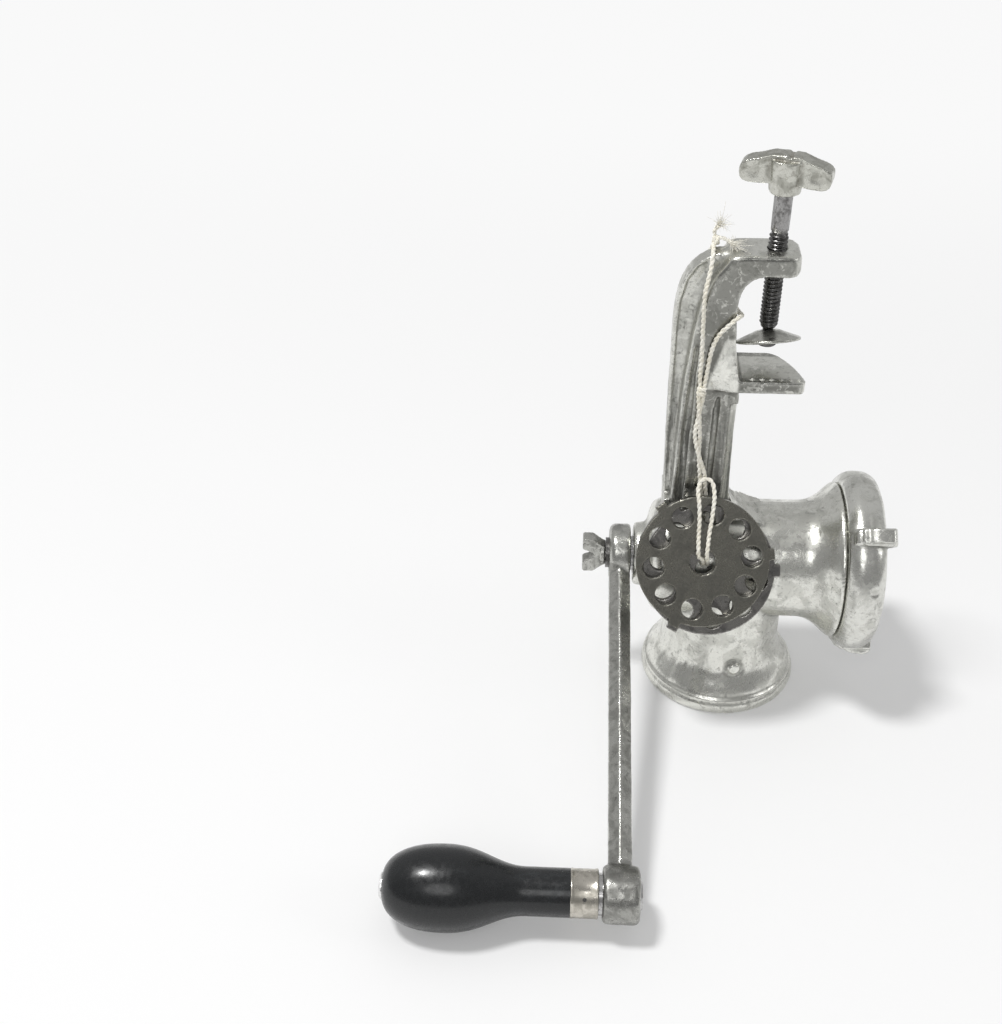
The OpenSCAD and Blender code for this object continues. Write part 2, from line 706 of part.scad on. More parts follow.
module crank_arm() {
    color([0.62, 0.62, 0.60])
        difference() {
            union() {
                turned([[arm_out, 0], [arm_out, hub_r - 2.4], [arm_out + 0.8, hub_r - 0.8],
                        [arm_out + 2.4, hub_r], [arm_in - 0.8, hub_r], [arm_in, hub_r - 0.8],
                        [arm_in, 0]]);
                turned([[handle_out, 0], [handle_out, handle_boss_r - 1.2],
                        [handle_out + 1.2, handle_boss_r], [handle_in - 1.2, handle_boss_r],
                        [handle_in, handle_boss_r - 1.2], [handle_in, 0]],
                       handle_y, handle_z);
                translate([0, 0, axis_h])
                    rotate([crank_droop, 0, 0])
                        rotate([90, 0, 0])
                            linear_extrude(crank_len)
                                arm_section();
            }
            square_x(arm_out - 1, arm_in + 1, drive_square + square_play);
            bar_x(handle_out - 1, handle_in + 1, spindle_r + snug, handle_y, handle_z);
        }
}

// Ridged section of the crank arm.
module arm_section() {
    ridge = (arm_in + arm_out) / 2;
    polygon([[arm_out, -arm_h * 0.3], [arm_out + 1.6, -arm_h * 0.46], [arm_in - 1.6, -arm_h * 0.46],
             [arm_in, -arm_h * 0.3], [arm_in, arm_h * 0.18], [ridge + 0.4, arm_h * 0.54],
             [ridge - 0.4, arm_h * 0.54], [arm_out, arm_h * 0.18]]);
}

module thumb_washer() {
    color([0.35, 0.34, 0.32])
        difference() {
            bar_x(arm_out - thumb_washer_t, arm_out, thumb_washer_r);
            bar_x(arm_out - thumb_washer_t - 1, arm_out + 1, thumb_shank_r + running);
        }
}

// A point of the thumb screw's outline, as shares of its length and of half its span.
function ear_at(along, across) = [thumb_in - along * thumb_len, across * thumb_span / 2];

module thumb_screw() {
    ear = concat([ear_at(0, 0), ear_at(0, 0.5), ear_at(0.15, 0.59)],
        curve(ear_at(0.23, 0.67), ear_at(0.38, 0.89), ear_at(0.57, 1), ear_at(0.72, 1), 5),
        curve(ear_at(0.85, 1), ear_at(1, 1), ear_at(1.02, 0.78), ear_at(0.98, 0.61), 5),
        curve(ear_at(0.85, 0.5), ear_at(0.66, 0.35), ear_at(0.58, 0.17), ear_at(0.58, 0), 5));
    color([0.60, 0.59, 0.56]) {
        bar_x(thumb_in - 0.5, arm_out + thumb_reach, thumb_shank_r);
        translate([0, 0, axis_h])
            plate_xz(concat(ear, [for (i = [len(ear) - 2:-1:1]) [ear[i][0], -ear[i][1]]]), thumb_t);
        bar_x(thumb_in - thumb_collar_len, thumb_in, thumb_collar_r);
    }
}

module handle_spindle() {
    color([0.50, 0.50, 0.50]) {
        bar_x(grip_tip - cap_t - 0.2, handle_in + eps, spindle_r, handle_y, handle_z);
        turned([[handle_in, 0], [handle_in, spindle_r + 2.6], [handle_in + 0.9, spindle_r + 1.9],
                [handle_in + 1.2, 0]], handle_y, handle_z);
    }
}

module grip_washer() {
    color([0.55, 0.54, 0.50])
        difference() {
            bar_x(handle_out - grip_washer_t, handle_out, ferrule_r - 1.6, handle_y, handle_z);
            bar_x(handle_out - grip_washer_t - 1, handle_out + 1, spindle_r + snug, handle_y, handle_z);
        }
}

// A short pin hole or pin, pointing from the handle's axis towards the front and up.
module handle_radial(r, from, to) {
    translate([(ferrule_in + ferrule_out) / 2, handle_y, handle_z])
        rotate([54, 0, 0])
            translate([0, 0, from])
                cylinder(h = to - from, r = r, $fn = soft);
}

module ferrule() {
    color([0.75, 0.72, 0.66])
        difference() {
            turned([[ferrule_out, tenon_r + snug], [ferrule_out, ferrule_r - 0.3],
                    [ferrule_out + 0.3, ferrule_r], [ferrule_in - 0.3, ferrule_r],
                    [ferrule_in, ferrule_r - 0.3], [ferrule_in, tenon_r + snug]],
                   handle_y, handle_z);
            handle_radial(ferrule_pin_r + snug, 0, ferrule_r + 2);
        }
}

module ferrule_pin() {
    color([0.30, 0.28, 0.26])
        handle_radial(ferrule_pin_r, spindle_r + 2, ferrule_r + 0.2);
}

module grip() {
    waist = ferrule_out - grip_len * 0.24;
    belly = ferrule_out - grip_len * 0.66;
    outline = concat([[grip_tip, 0], [grip_tip, cap_r - 0.5]],
        curve([grip_tip, cap_r + 0.4], [grip_tip + 1.5, grip_r * 0.72], [grip_tip + 10, grip_r * 1.02],
              [belly, grip_r], 12),
        curve([belly + 1.5, grip_r], [belly + 15, grip_r * 0.96], [waist - 11, grip_neck_r + 0.2],
              [waist, grip_neck_r], 12),
        [[ferrule_out, grip_neck_r], [ferrule_out, tenon_r], [ferrule_in - face_gap, tenon_r],
         [ferrule_in - face_gap, 0]]);
    color([0.05, 0.05, 0.05])
        difference() {
            turned(outline, handle_y, handle_z);
            bar_x(grip_tip - 1, ferrule_in + 1, spindle_r + running, handle_y, handle_z);
            handle_radial(ferrule_pin_r + snug, spindle_r + 1.8, ferrule_r + 2);
        }
}

module spindle_cap() {
    color([0.62, 0.61, 0.58])
        difference() {
            turned([[grip_tip - face_gap - cap_t, 0], [grip_tip - face_gap - cap_t, cap_r - 1],
                    [grip_tip - face_gap - 0.4, cap_r], [grip_tip - face_gap, cap_r],
                    [grip_tip - face_gap, 0]], handle_y, handle_z);
            bar_x(grip_tip - cap_t - 2, grip_tip + 1, spindle_r + snug, handle_y, handle_z);
        }
}

// ---------- clamp ----------

module clamp_screw() {
    peen_top = screw_tip_z - screw_neck_len;
    color([0.20, 0.21, 0.20])
        translate([screw_x, 0, 0]) {
            translate([0, 0, screw_tip_z])
                cylinder(h = knob_z + knob_socket - screw_tip_z, r = screw_r, $fn = fine);
            translate([0, 0, peen_top - eps])
                cylinder(h = screw_neck_len + 2 * eps, r = screw_neck_r, $fn = fine);
            translate([0, 0, peen_top - peen_t])
                cylinder(h = peen_t, r = peen_r, $fn = fine);
        }
}

// A point of the knob's outline, as shares of half its length and of its wings' height.
function wing_at(along, up) = [along * knob_len / 2, knob_z + wing_rise + up * wing_h];

module clamp_knob() {
    wing = concat([wing_at(0, 0)],
        curve(wing_at(0.39, 0.03), wing_at(0.67, 0), wing_at(1, -0.11), wing_at(1, 0.28), 6),
        curve(wing_at(1, 0.46), wing_at(1, 0.66), wing_at(0.83, 0.75), wing_at(0.61, 0.82), 6),
        [wing_at(0.33, 0.97), wing_at(0, 1)]);
    outline = concat(wing, [for (i = [len(wing) - 2:-1:1]) [-wing[i][0], wing[i][1]]]);
    color([0.66, 0.66, 0.62])
        difference() {
            translate([screw_x, 0, 0])
                rotate([0, 0, knob_turn]) {
                    plate_xz(outline, knob_t);
                    translate([0, 0, knob_z])
                        cylinder(h = knob_h, r1 = knob_boss_r - 1, r2 = knob_boss_r, $fn = fine);
                }
            translate([screw_x, 0, knob_z - 1])
                cylinder(h = knob_socket + 1 + snug, r = screw_r + snug, $fn = fine);
        }
}

module clamp_pad() {
    hole_r = screw_neck_r + pad_play;
    rim_z = -pad_h;
    // the tilt brings the back of the pad's top up to the screw's shoulder
    hang = screw_tip_z - screw_r * 1.1 * sin(pad_tip) - pad_gap;
    color([0.70, 0.70, 0.66])
        translate([screw_x, 0, hang])
            rotate([-pad_tip, -pad_lean, 0])
                rotate_extrude($fn = fine)
                    polygon([[hole_r, 0], [pad_apex_r, 0], [pad_r - pad_edge, rim_z + pad_edge],
                             [pad_r, rim_z + pad_edge / 3], [pad_r, rim_z - pad_edge],
                             [pad_r - pad_edge * 0.8, rim_z - pad_edge * 1.5],
                             [pad_apex_r, -pad_wall * 1.1], [hole_r, -pad_wall]]);
}

// ---------- spare plates ----------

// Puts a plate that lies in the XY plane onto the leaning face of the hanging pair.
module hung(shift_x, drop, depth) {
    lift = barrel_r + 2 * string_r + 0.5 + 2 * plate_t + spare_gap;
    translate([spare_x, 0, axis_h])
        rotate([90 - spare_lean, 0, 0])
            translate([shift_x, spare_slide - drop, lift - plate_t - depth])
                children();
}

module spare_plate_front() {
    color([0.20, 0.19, 0.18])
        hung(0, 0, 0)
            rotate([0, 0, 8])
                perforated_plate([[coarse_pitch_r, coarse_holes, coarse_hole_r, 0]], true);
}

module spare_plate_rear() {
    color([0.45, 0.45, 0.44])
        hung(spare_shift_x, spare_drop, plate_t + spare_gap)
            rotate([0, 0, 241])
                perforated_plate([[coarse_pitch_r, coarse_holes, coarse_hole_r, 0]], true);
}

// ---------- string ----------

// A round string swept along a route: one ring at each point, and flat ends.
module string_tube(route, r, sides = 8) {
    last = len(route) - 1;
    head = [for (i = [0:last]) heading(route, i)];
    normals = [for (i = 0, n = unit(cross(head[0], [0.3, 1, 0.2])); i <= last;
                    i = i + 1, n = i > last ? n : unit(n - (n * head[i]) * head[i])) n];
    rings = [for (i = [0:last]) let(u = normals[i], v = cross(head[i], u))
        for (k = [0:sides - 1]) let(a = 360 * k / sides)
            route[i] + r * (cos(a) * u + sin(a) * v)];
    walls = [for (i = [0:last - 1]) for (k = [0:sides - 1]) let(m = (k + 1) % sides)
        [i * sides + k, (i + 1) * sides + k, (i + 1) * sides + m, i * sides + m]];
    ends = [[for (k = [0:sides - 1]) k],
            [for (k = [sides - 1:-1:0]) last * sides + k]];
    polyhedron(rings, concat(walls, ends));
}

module tie_string() {
    color([0.90, 0.87, 0.78])
        string_tube(tie_route, string_r);
}

module tie_knot() {
    color([0.90, 0.87, 0.78])
        translate(tie_top)
            sphere(r = 3 * string_r, $fn = soft);
}

module join_knot() {
    color([0.90, 0.87, 0.78])
        translate(join)
            sphere(r = 2.6 * string_r, $fn = soft);
}

module plate_string() {
    color([0.90, 0.87, 0.78])
        string_tube(plate_route, string_r);
}

body_casting();
feed_screw();
thrust_washer();
knife_stud();
knife();
hole_plate();
ring_nut();
crank_arm();
thumb_washer();
thumb_screw();
handle_spindle();
grip_washer();
ferrule();
ferrule_pin();
grip();
spindle_cap();
clamp_screw();
clamp_knob();
clamp_pad();
spare_plate_front();
spare_plate_rear();
tie_string();
tie_knot();
join_knot();
plate_string();
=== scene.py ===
"""A small hand crank meat grinder that stands upside down on its hopper.

Lengths are written in millimetres and become metres in mm(), apart from the floor, the lamps
and the materials, which are in metres.
"""

import json
import math
from itertools import product

import bmesh
import bpy
import numpy as np
from mathutils import Matrix, Vector


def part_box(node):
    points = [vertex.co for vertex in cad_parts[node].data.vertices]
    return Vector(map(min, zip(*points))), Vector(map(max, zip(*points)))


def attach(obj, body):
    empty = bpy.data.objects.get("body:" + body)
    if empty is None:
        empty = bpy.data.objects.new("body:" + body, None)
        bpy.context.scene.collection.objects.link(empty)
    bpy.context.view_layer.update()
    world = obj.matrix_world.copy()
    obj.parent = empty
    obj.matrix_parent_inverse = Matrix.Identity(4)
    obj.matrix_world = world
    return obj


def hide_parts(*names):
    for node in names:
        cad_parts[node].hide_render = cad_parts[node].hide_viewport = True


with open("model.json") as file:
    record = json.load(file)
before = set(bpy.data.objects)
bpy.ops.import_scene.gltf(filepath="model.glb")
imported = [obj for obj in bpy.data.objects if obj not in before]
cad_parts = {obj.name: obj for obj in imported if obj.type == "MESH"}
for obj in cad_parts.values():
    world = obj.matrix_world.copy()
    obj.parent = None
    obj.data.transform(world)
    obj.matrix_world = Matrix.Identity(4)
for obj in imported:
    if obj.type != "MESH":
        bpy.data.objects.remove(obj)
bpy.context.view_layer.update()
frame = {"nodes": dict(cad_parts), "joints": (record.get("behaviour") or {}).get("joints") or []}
scene = bpy.context.scene

# ---------- sizes and places, taken from the frame ----------


def mm(*values):
    """Millimetres as metres."""
    scaled = tuple(v * 0.001 for v in values)
    return scaled[0] if len(scaled) == 1 else scaled


def joint_place(name):
    """A hinge's point in millimetres."""
    joint = next(j for j in frame["joints"] if j["name"] == name)
    return tuple(v * 1000 for v in joint["pos_m"])


def box_mm(node):
    low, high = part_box(node)
    return tuple(v * 1000 for v in low), tuple(v * 1000 for v in high)


AXIS_Z = joint_place("crank_turn")[2]
SCREW_X = joint_place("clamp_turn")[0]
HANDLE_Y, HANDLE_Z = joint_place("grip_spin")[1:]
RING_LOW = box_mm("ring_nut")[0]
GRIP_LOW, GRIP_HIGH = box_mm("grip")
FERRULE_LOW, FERRULE_HIGH = box_mm("ferrule")
SCREW_LOW = box_mm("clamp_screw")[0]
KNOB_LOW = box_mm("clamp_knob")[0]
THUMB_LOW, THUMB_HIGH = box_mm("thumb_screw")
THUMB_ROOT = box_mm("thumb_washer")[0][0] - 0.1
ARM_TOP = box_mm("body_casting")[1][2]

# Sizes that no box gives, in millimetres and degrees.
THUMB_HALF = 2.9      # half the thickness of the thumb screw's ears
RING_R = 40.9         # the ring nut without its lugs
RING_DEEP = 16.4      # from the ring nut's back to its face
LUG_ANGLE = 51.0      # of the first lug, from the front towards the top
LEG_HALF = 10.0       # half the leg's thickness
LEG_OUT = -33.0       # the leg's outer edge
WEB_HALF = 3.8        # half the thickness of the web along that edge
SHELF_Z = 167.0       # the jaw shelf's flat
SHELF_HALF = 13.0     # half the jaw shelf's width
JAW_X = -4.6          # the back plate's face, where the shelf begins
BACK_PLATE_H = 19.0   # the back plate's height over the shelf
THREAD_PITCH = 1.75
THREAD_BOTTOM = 187.0
THREAD_TOP = 229.3
KNOB_TURN = -17.0     # the knob's wings, from the X axis
STRING_R = 0.9
STRING_LAY = 5.2      # of one turn of the string's two plies
PIP = (4.6, -27.0, 21.5)

# ---------- camera ----------


def make_camera():
    data = bpy.data.cameras.new("camera")
    data.lens = 50.22
    data.sensor_width = 36.0
    camera = bpy.data.objects.new("camera", data)
    scene.collection.objects.link(camera)
    forward = Vector((-0.0423, 0.8113, -0.5832)).normalized()
    roll = math.radians(0.13)
    camera.location = mm(-77.56, -531.38, 469.79)
    camera.rotation_mode = "QUATERNION"
    turn = Matrix.Rotation(roll, 4, forward).to_quaternion()
    camera.rotation_quaternion = turn @ forward.to_track_quat("-Z", "Y")
    scene.camera = camera


make_camera()

# ---------- mesh tools ----------


def link(name, mesh):
    piece = bpy.data.objects.new(name, mesh)
    scene.collection.objects.link(piece)
    return piece


def mesh_of(name, points, faces):
    """A mesh from points in millimetres, with its doubles merged and its normals outward."""
    mesh = bpy.data.meshes.new(name)
    mesh.from_pydata([tuple(v * 0.001 for v in p) for p in points], [], faces)
    tidy(mesh)
    return mesh


def tidy(mesh, distance=2e-6):
    """Merges points closer than distance, in metres, and turns the faces outward."""
    shell = bmesh.new()
    shell.from_mesh(mesh)
    bmesh.ops.remove_doubles(shell, verts=shell.verts, dist=distance)
    bmesh.ops.recalc_face_normals(shell, faces=shell.faces)
    shell.to_mesh(mesh)
    shell.free()


def corners(mesh):
    """Vertex places in millimetres."""
    co = np.empty(len(mesh.vertices) * 3, np.float32)
    mesh.vertices.foreach_get("co", co)
    return co.reshape(-1, 3).astype(float) * 1000


def place_corners(mesh, co):
    mesh.vertices.foreach_set("co", (co * 0.001).astype(np.float32).ravel())
    mesh.update()


def normals_of(mesh):
    n = np.empty(len(mesh.vertices) * 3, np.float32)
    mesh.vertices.foreach_get("normal", n)
    return n.reshape(-1, 3).astype(float)


def edges_of(mesh):
    e = np.empty(len(mesh.edges) * 2, np.int32)
    mesh.edges.foreach_get("vertices", e)
    return e.reshape(-1, 2)


def averaged(values, edges, count):
    """Each vertex's mean over its neighbours."""
    near, far = edges[:, 0], edges[:, 1]
    degree = np.maximum(np.bincount(edges.ravel(), minlength=count), 1)
    if values.ndim == 1:
        values = values[:, None]
    total = np.empty_like(values)
    for k in range(values.shape[1]):
        total[:, k] = np.bincount(near, values[far, k], count)
        total[:, k] += np.bincount(far, values[near, k], count)
    return total / degree[:, None]


def smooth(co, edges, rounds, keep_size=True, mask=None):
    """Rounds off creases; with keep_size each step inwards is followed by one outwards."""
    weight = 1.0 if mask is None else mask[:, None]
    for _ in range(rounds):
        co = co + 0.5 * weight * (averaged(co, edges, len(co)) - co)
        if keep_size:
            co = co - 0.52 * weight * (averaged(co, edges, len(co)) - co)
    return co


def lumps(co, size, seed):
    """Smooth random heights from -1 to 1 whose lumps are about size millimetres across."""
    cells = 48
    grid = np.random.default_rng(seed).uniform(-1, 1, (cells, cells, cells))
    place = co / size
    base = np.floor(place).astype(int)
    part = place - base
    part = part * part * (3 - 2 * part)
    total = np.zeros(len(co))
    for step in product((0, 1), repeat=3):
        weight = np.ones(len(co))
        for k in range(3):
            weight = weight * (part[:, k] if step[k] else 1 - part[:, k])
        i, j, k = ((base[:, a] + step[a]) % cells for a in range(3))
        total += weight * grid[i, j, k]
    return total


def ramp(values, low, high):
    """0 below low, 1 above high, and a smooth step between; low may be the larger."""
    t = np.clip((values - low) / (high - low), 0, 1)
    return t * t * (3 - 2 * t)


def painted(mesh, name):
    """A painted mask's value at each point."""
    values = np.empty(len(mesh.vertices), np.float32)
    mesh.attributes[name].data.foreach_get("value", values)
    return values


def paint(mesh, name, values):
    """Paints a mask from 0 to 1 on the points, for the materials to read."""
    layer = mesh.attributes.get(name) or mesh.attributes.new(name, "FLOAT", "POINT")
    layer.data.foreach_set("value", np.clip(values, 0, 1).astype(np.float32))


def recast(node, name, voxel, soften, extra, roughness, wave, seed, base=None):
    """A copy of a CAD node as a casting: even small faces, rounded creases and a cast skin.

    It gets two painted masks: hollow, where dirt gathers and painted shade darkens the recesses,
    and edge, where it is worn bright.
    voxel is the size of its faces and soften the rounds of smoothing. extra(co, normals, edges)
    may then move points, before the skin is added. roughness is the height of the fine skin and
    wave that of the broad unevenness. base, where given, is a mesh that takes the CAD node's
    place inside the same box.
    """
    source = base or frame["nodes"][node].data.copy()
    tidy(source)
    rough_piece = link(name + "_raw", source)
    remesh = rough_piece.modifiers.new("even", "REMESH")
    remesh.mode = "VOXEL"
    remesh.voxel_size = voxel * 0.001
    depsgraph = bpy.context.evaluated_depsgraph_get()
    mesh = bpy.data.meshes.new_from_object(rough_piece.evaluated_get(depsgraph))
    mesh.name = name
    bpy.data.objects.remove(rough_piece)
    co, edges = corners(mesh), edges_of(mesh)
    co = smooth(co, edges, soften)
    if extra:
        place_corners(mesh, co)
        co = extra(co, normals_of(mesh), edges)
        place_corners(mesh, co)
    mark_wear(mesh, co, edges, voxel)
    skin = lumps(co, 2.6, seed) + 0.6 * lumps(co, 1.2, seed + 1)
    broad = lumps(co, 8.5, seed + 2) + 0.5 * lumps(co, 4.6, seed + 3)
    co = co + normals_of(mesh) * (roughness * skin + wave * broad)[:, None]
    place_corners(mesh, np.clip(co, *box_mm(node)))
    mesh.shade_smooth()
    mesh.materials.clear()
    return link(name, mesh)


def mark_wear(mesh, co, edges, voxel):
    """Paints hollow where a point lies below its smoothed surroundings, as dirt and painted shade,
    and edge where above.
    """
    place_corners(mesh, co)
    out = normals_of(mesh)
    near = smooth(co, edges, max(3, round(6 / voxel)), keep_size=False)
    wide = smooth(near, edges, max(6, round(24 / voxel)), keep_size=False)
    lift_near = ((near - co) * out).sum(axis=1)
    lift_wide = ((wide - co) * out).sum(axis=1)
    # hollow: dirt in tight creases, and painted shade over broad recesses from the wide smoothing
    paint(mesh, "hollow", np.maximum(lift_near * 3.2, lift_wide * 1.1))
    paint(mesh, "edge", -lift_near * 3.6)


def lathe(name, outline, centre, steps=128, sharp=35):
    """A shape turned about a line along X; outline is [x, radius] from one end to the other."""
    y, z = centre
    points, faces, rings = [], [], []
    for x, r in outline:
        count = steps if r > 1e-6 else 1
        rings.append((len(points), count))
        for i in range(count):
            a = 2 * math.pi * i / steps
            points.append((x, y + r * math.cos(a), z + r * math.sin(a)))
    for (a, na), (b, nb) in zip(rings, rings[1:]):
        for i in range(steps):
            j = (i + 1) % steps
            quad = [a + i % na, a + j % na, b + j % nb, b + i % nb]
            faces.append(list(dict.fromkeys(quad)))
    return turned(name, points, [f for f in faces if len(f) > 2], sharp)


def turned(name, points, faces, sharp):
    """A smooth piece whose edges over sharp degrees stay crisp."""
    mesh = mesh_of(name, points, faces)
    mesh.shade_smooth()
    mesh.set_sharp_from_angle(angle=math.radians(sharp))
    return link(name, mesh)


def upright(x, sections, sides):
    """Points of rings round the upright line at x; each section is a height and its radius."""
    angles = [2 * math.pi * k / sides for k in range(sides)]
    points = []
    for z, radius in sections:
        for a in angles:
            r = radius(a) if callable(radius) else radius
            points.append((x + r * math.cos(a), r * math.sin(a), z))
    return points


def walls(rows, sides):
    """Faces between neighbouring rings of points."""
    faces = []
    for i in range(rows - 1):
        for k in range(sides):
            m = (k + 1) % sides
            faces.append([i * sides + k, i * sides + m, (i + 1) * sides + m, (i + 1) * sides + k])
    return faces


def closed_walls(rows, sides):
    """The same with a face over each end."""
    last = (rows - 1) * sides
    return walls(rows, sides) + [list(range(sides))[::-1], list(range(last, last + sides))]


def curve(a, b, c, d, count=12):
    """Points of a cubic curve from a to d, drawn towards b and c."""
    a, b, c, d = (np.array(p, float) for p in (a, b, c, d))
    t = np.linspace(0, 1, count + 1)[:, None]
    s = 1 - t
    return (s**3 * a + 3 * s * s * t * b + 3 * s * t * t * c + t**3 * d).tolist()


def through(points, spacing):
    """An evenly spaced smooth line through the points."""
    p = np.array(points, float)
    longer = [2 * p[0] - p[1], *p, 2 * p[-1] - p[-2]]
    line = []
    for k in range(len(p) - 1):
        p0, p1, p2, p3 = longer[k:k + 4]
        for t in np.linspace(0, 1, 24, endpoint=False):
            line.append(0.5 * (2 * p1 + (p2 - p0) * t + (2 * p0 - 5 * p1 + 4 * p2 - p3) * t * t
                               + (3 * p1 - p0 - 3 * p2 + p3) * t**3))
    line.append(p[-1])
    line = np.array(line)
    along = np.concatenate([[0], np.cumsum(np.linalg.norm(np.diff(line, axis=0), axis=1))])
    stops = np.linspace(0, along[-1], max(2, round(along[-1] / spacing)) + 1)
    return np.stack([np.interp(stops, along, line[:, k]) for k in range(3)], axis=1)


def side_vectors(line):
    """A line's heading and two unit vectors across it, carried along without twisting."""
    head = np.gradient(line, axis=0)
    head /= np.linalg.norm(head, axis=1)[:, None]
    start = np.cross(head[0], [0.3, 1.0, 0.2])
    first = [start / np.linalg.norm(start)]
    for h in head[1:]:
        n = first[-1] - h * (first[-1] @ h)
        first.append(n / np.linalg.norm(n))
    first = np.array(first)
    return head, first, np.cross(head, first)


def tube(line, radius, sides=10):
    """Points and faces of a closed tube; radius is one number or one per point and side."""
    _, u, v = side_vectors(line)
    count = len(line)
    angle = np.linspace(0, 2 * math.pi, sides, endpoint=False)
    if np.ndim(radius) == 1:
        radius = np.asarray(radius)[:, None]
    radius = np.broadcast_to(np.asarray(radius, float), (count, sides))
    ring = (u[:, None] * np.cos(angle)[None, :, None] + v[:, None] * np.sin(angle)[None, :, None])
    points = (line[:, None] + ring * radius[..., None]).reshape(-1, 3).tolist()
    return points, closed_walls(count, sides)


def joined(parts):
    """Several points and faces as one."""
    points, faces = [], []
    for p, f in parts:
        base = len(points)
        points.extend(p)
        faces.extend([[i + base for i in face] for face in f])
    return points, faces


# ---------- shader groups ----------


def shader_group(name, inputs, outputs):
    """A new shader group with its named sockets, its input node and its output node."""
    group = bpy.data.node_groups.new(name, "ShaderNodeTree")
    for label, kind, value in inputs:
        socket = group.interface.new_socket(label, in_out="INPUT", socket_type=kind)
        socket.default_value = value
    for label, kind in outputs:
        group.interface.new_socket(label, in_out="OUTPUT", socket_type=kind)
    return group, group.nodes.new("NodeGroupInput"), group.nodes.new("NodeGroupOutput")


class Tree:
    """Short names for the nodes that these materials use."""

    def __init__(self, tree, coordinates="Object"):
        self.tree = tree
        self.place = tree.nodes.new("ShaderNodeTexCoord").outputs[coordinates]

    def join(self, source, target):
        """Links a socket, or sets a plain value."""
        if isinstance(source, (int, float, tuple)):
            target.default_value = source
        else:
            self.tree.links.new(source, target)

    def node(self, kind, **values):
        """A new shader node, with each value set or linked at the input of that name."""
        node = self.tree.nodes.new("ShaderNode" + kind)
        for label, value in values.items():
            self.join(value, node.inputs[label.replace("_", " ")])
        return node

    def noise(self, scale, detail=4.0, rough=0.55, place=None, warp=0.0):
        return self.node("TexNoise", Vector=place or self.place, Scale=scale, Detail=detail,
                         Roughness=rough, Distortion=warp).outputs["Fac"]

    def cells(self, scale):
        return self.node("TexVoronoi", Vector=self.place, Scale=scale).outputs["Distance"]

    def stretched(self, x, y, z):
        return self.node("Mapping", Vector=self.place, Scale=(x, y, z)).outputs["Vector"]

    def painted(self, name):
        node = self.node("Attribute")
        node.attribute_name = name
        return node.outputs["Fac"]

    def span(self, value, low, high, to_low=0.0, to_high=1.0):
        """A smooth step from to_low at low to to_high at high."""
        node = self.node("MapRange", Value=value, From_Min=low, From_Max=high,
                         To_Min=to_low, To_Max=to_high)
        node.interpolation_type = "SMOOTHSTEP"
        return node.outputs["Result"]

    def math(self, kind, a, b=0.0, clamp=False):
        node = self.node("Math")
        node.operation = kind
        node.use_clamp = clamp
        self.join(a, node.inputs[0])
        self.join(b, node.inputs[1])
        return node.outputs[0]

    def mix(self, share, a, b):
        node = self.node("Mix")
        node.data_type = "RGBA"
        self.join(share, node.inputs[0])
        self.join(a, node.inputs[6])
        self.join(b, node.inputs[7])
        return node.outputs[2]

    def shaders(self, share, a, b):
        """Two shaders mixed by share."""
        node = self.node("MixShader", Fac=share)
        self.join(a, node.inputs[1])
        self.join(b, node.inputs[2])
        return node.outputs[0]

    def group(self, group, **values):
        node = self.node("Group")
        node.node_tree = group
        for label, value in values.items():
            self.join(value, node.inputs[label.replace("_", " ")])
        return node


def grey(v, warm=0.0):
    """A grey, or a slightly yellow one where warm is over 0."""
    return (v + warm, v, v - warm, 1.0)


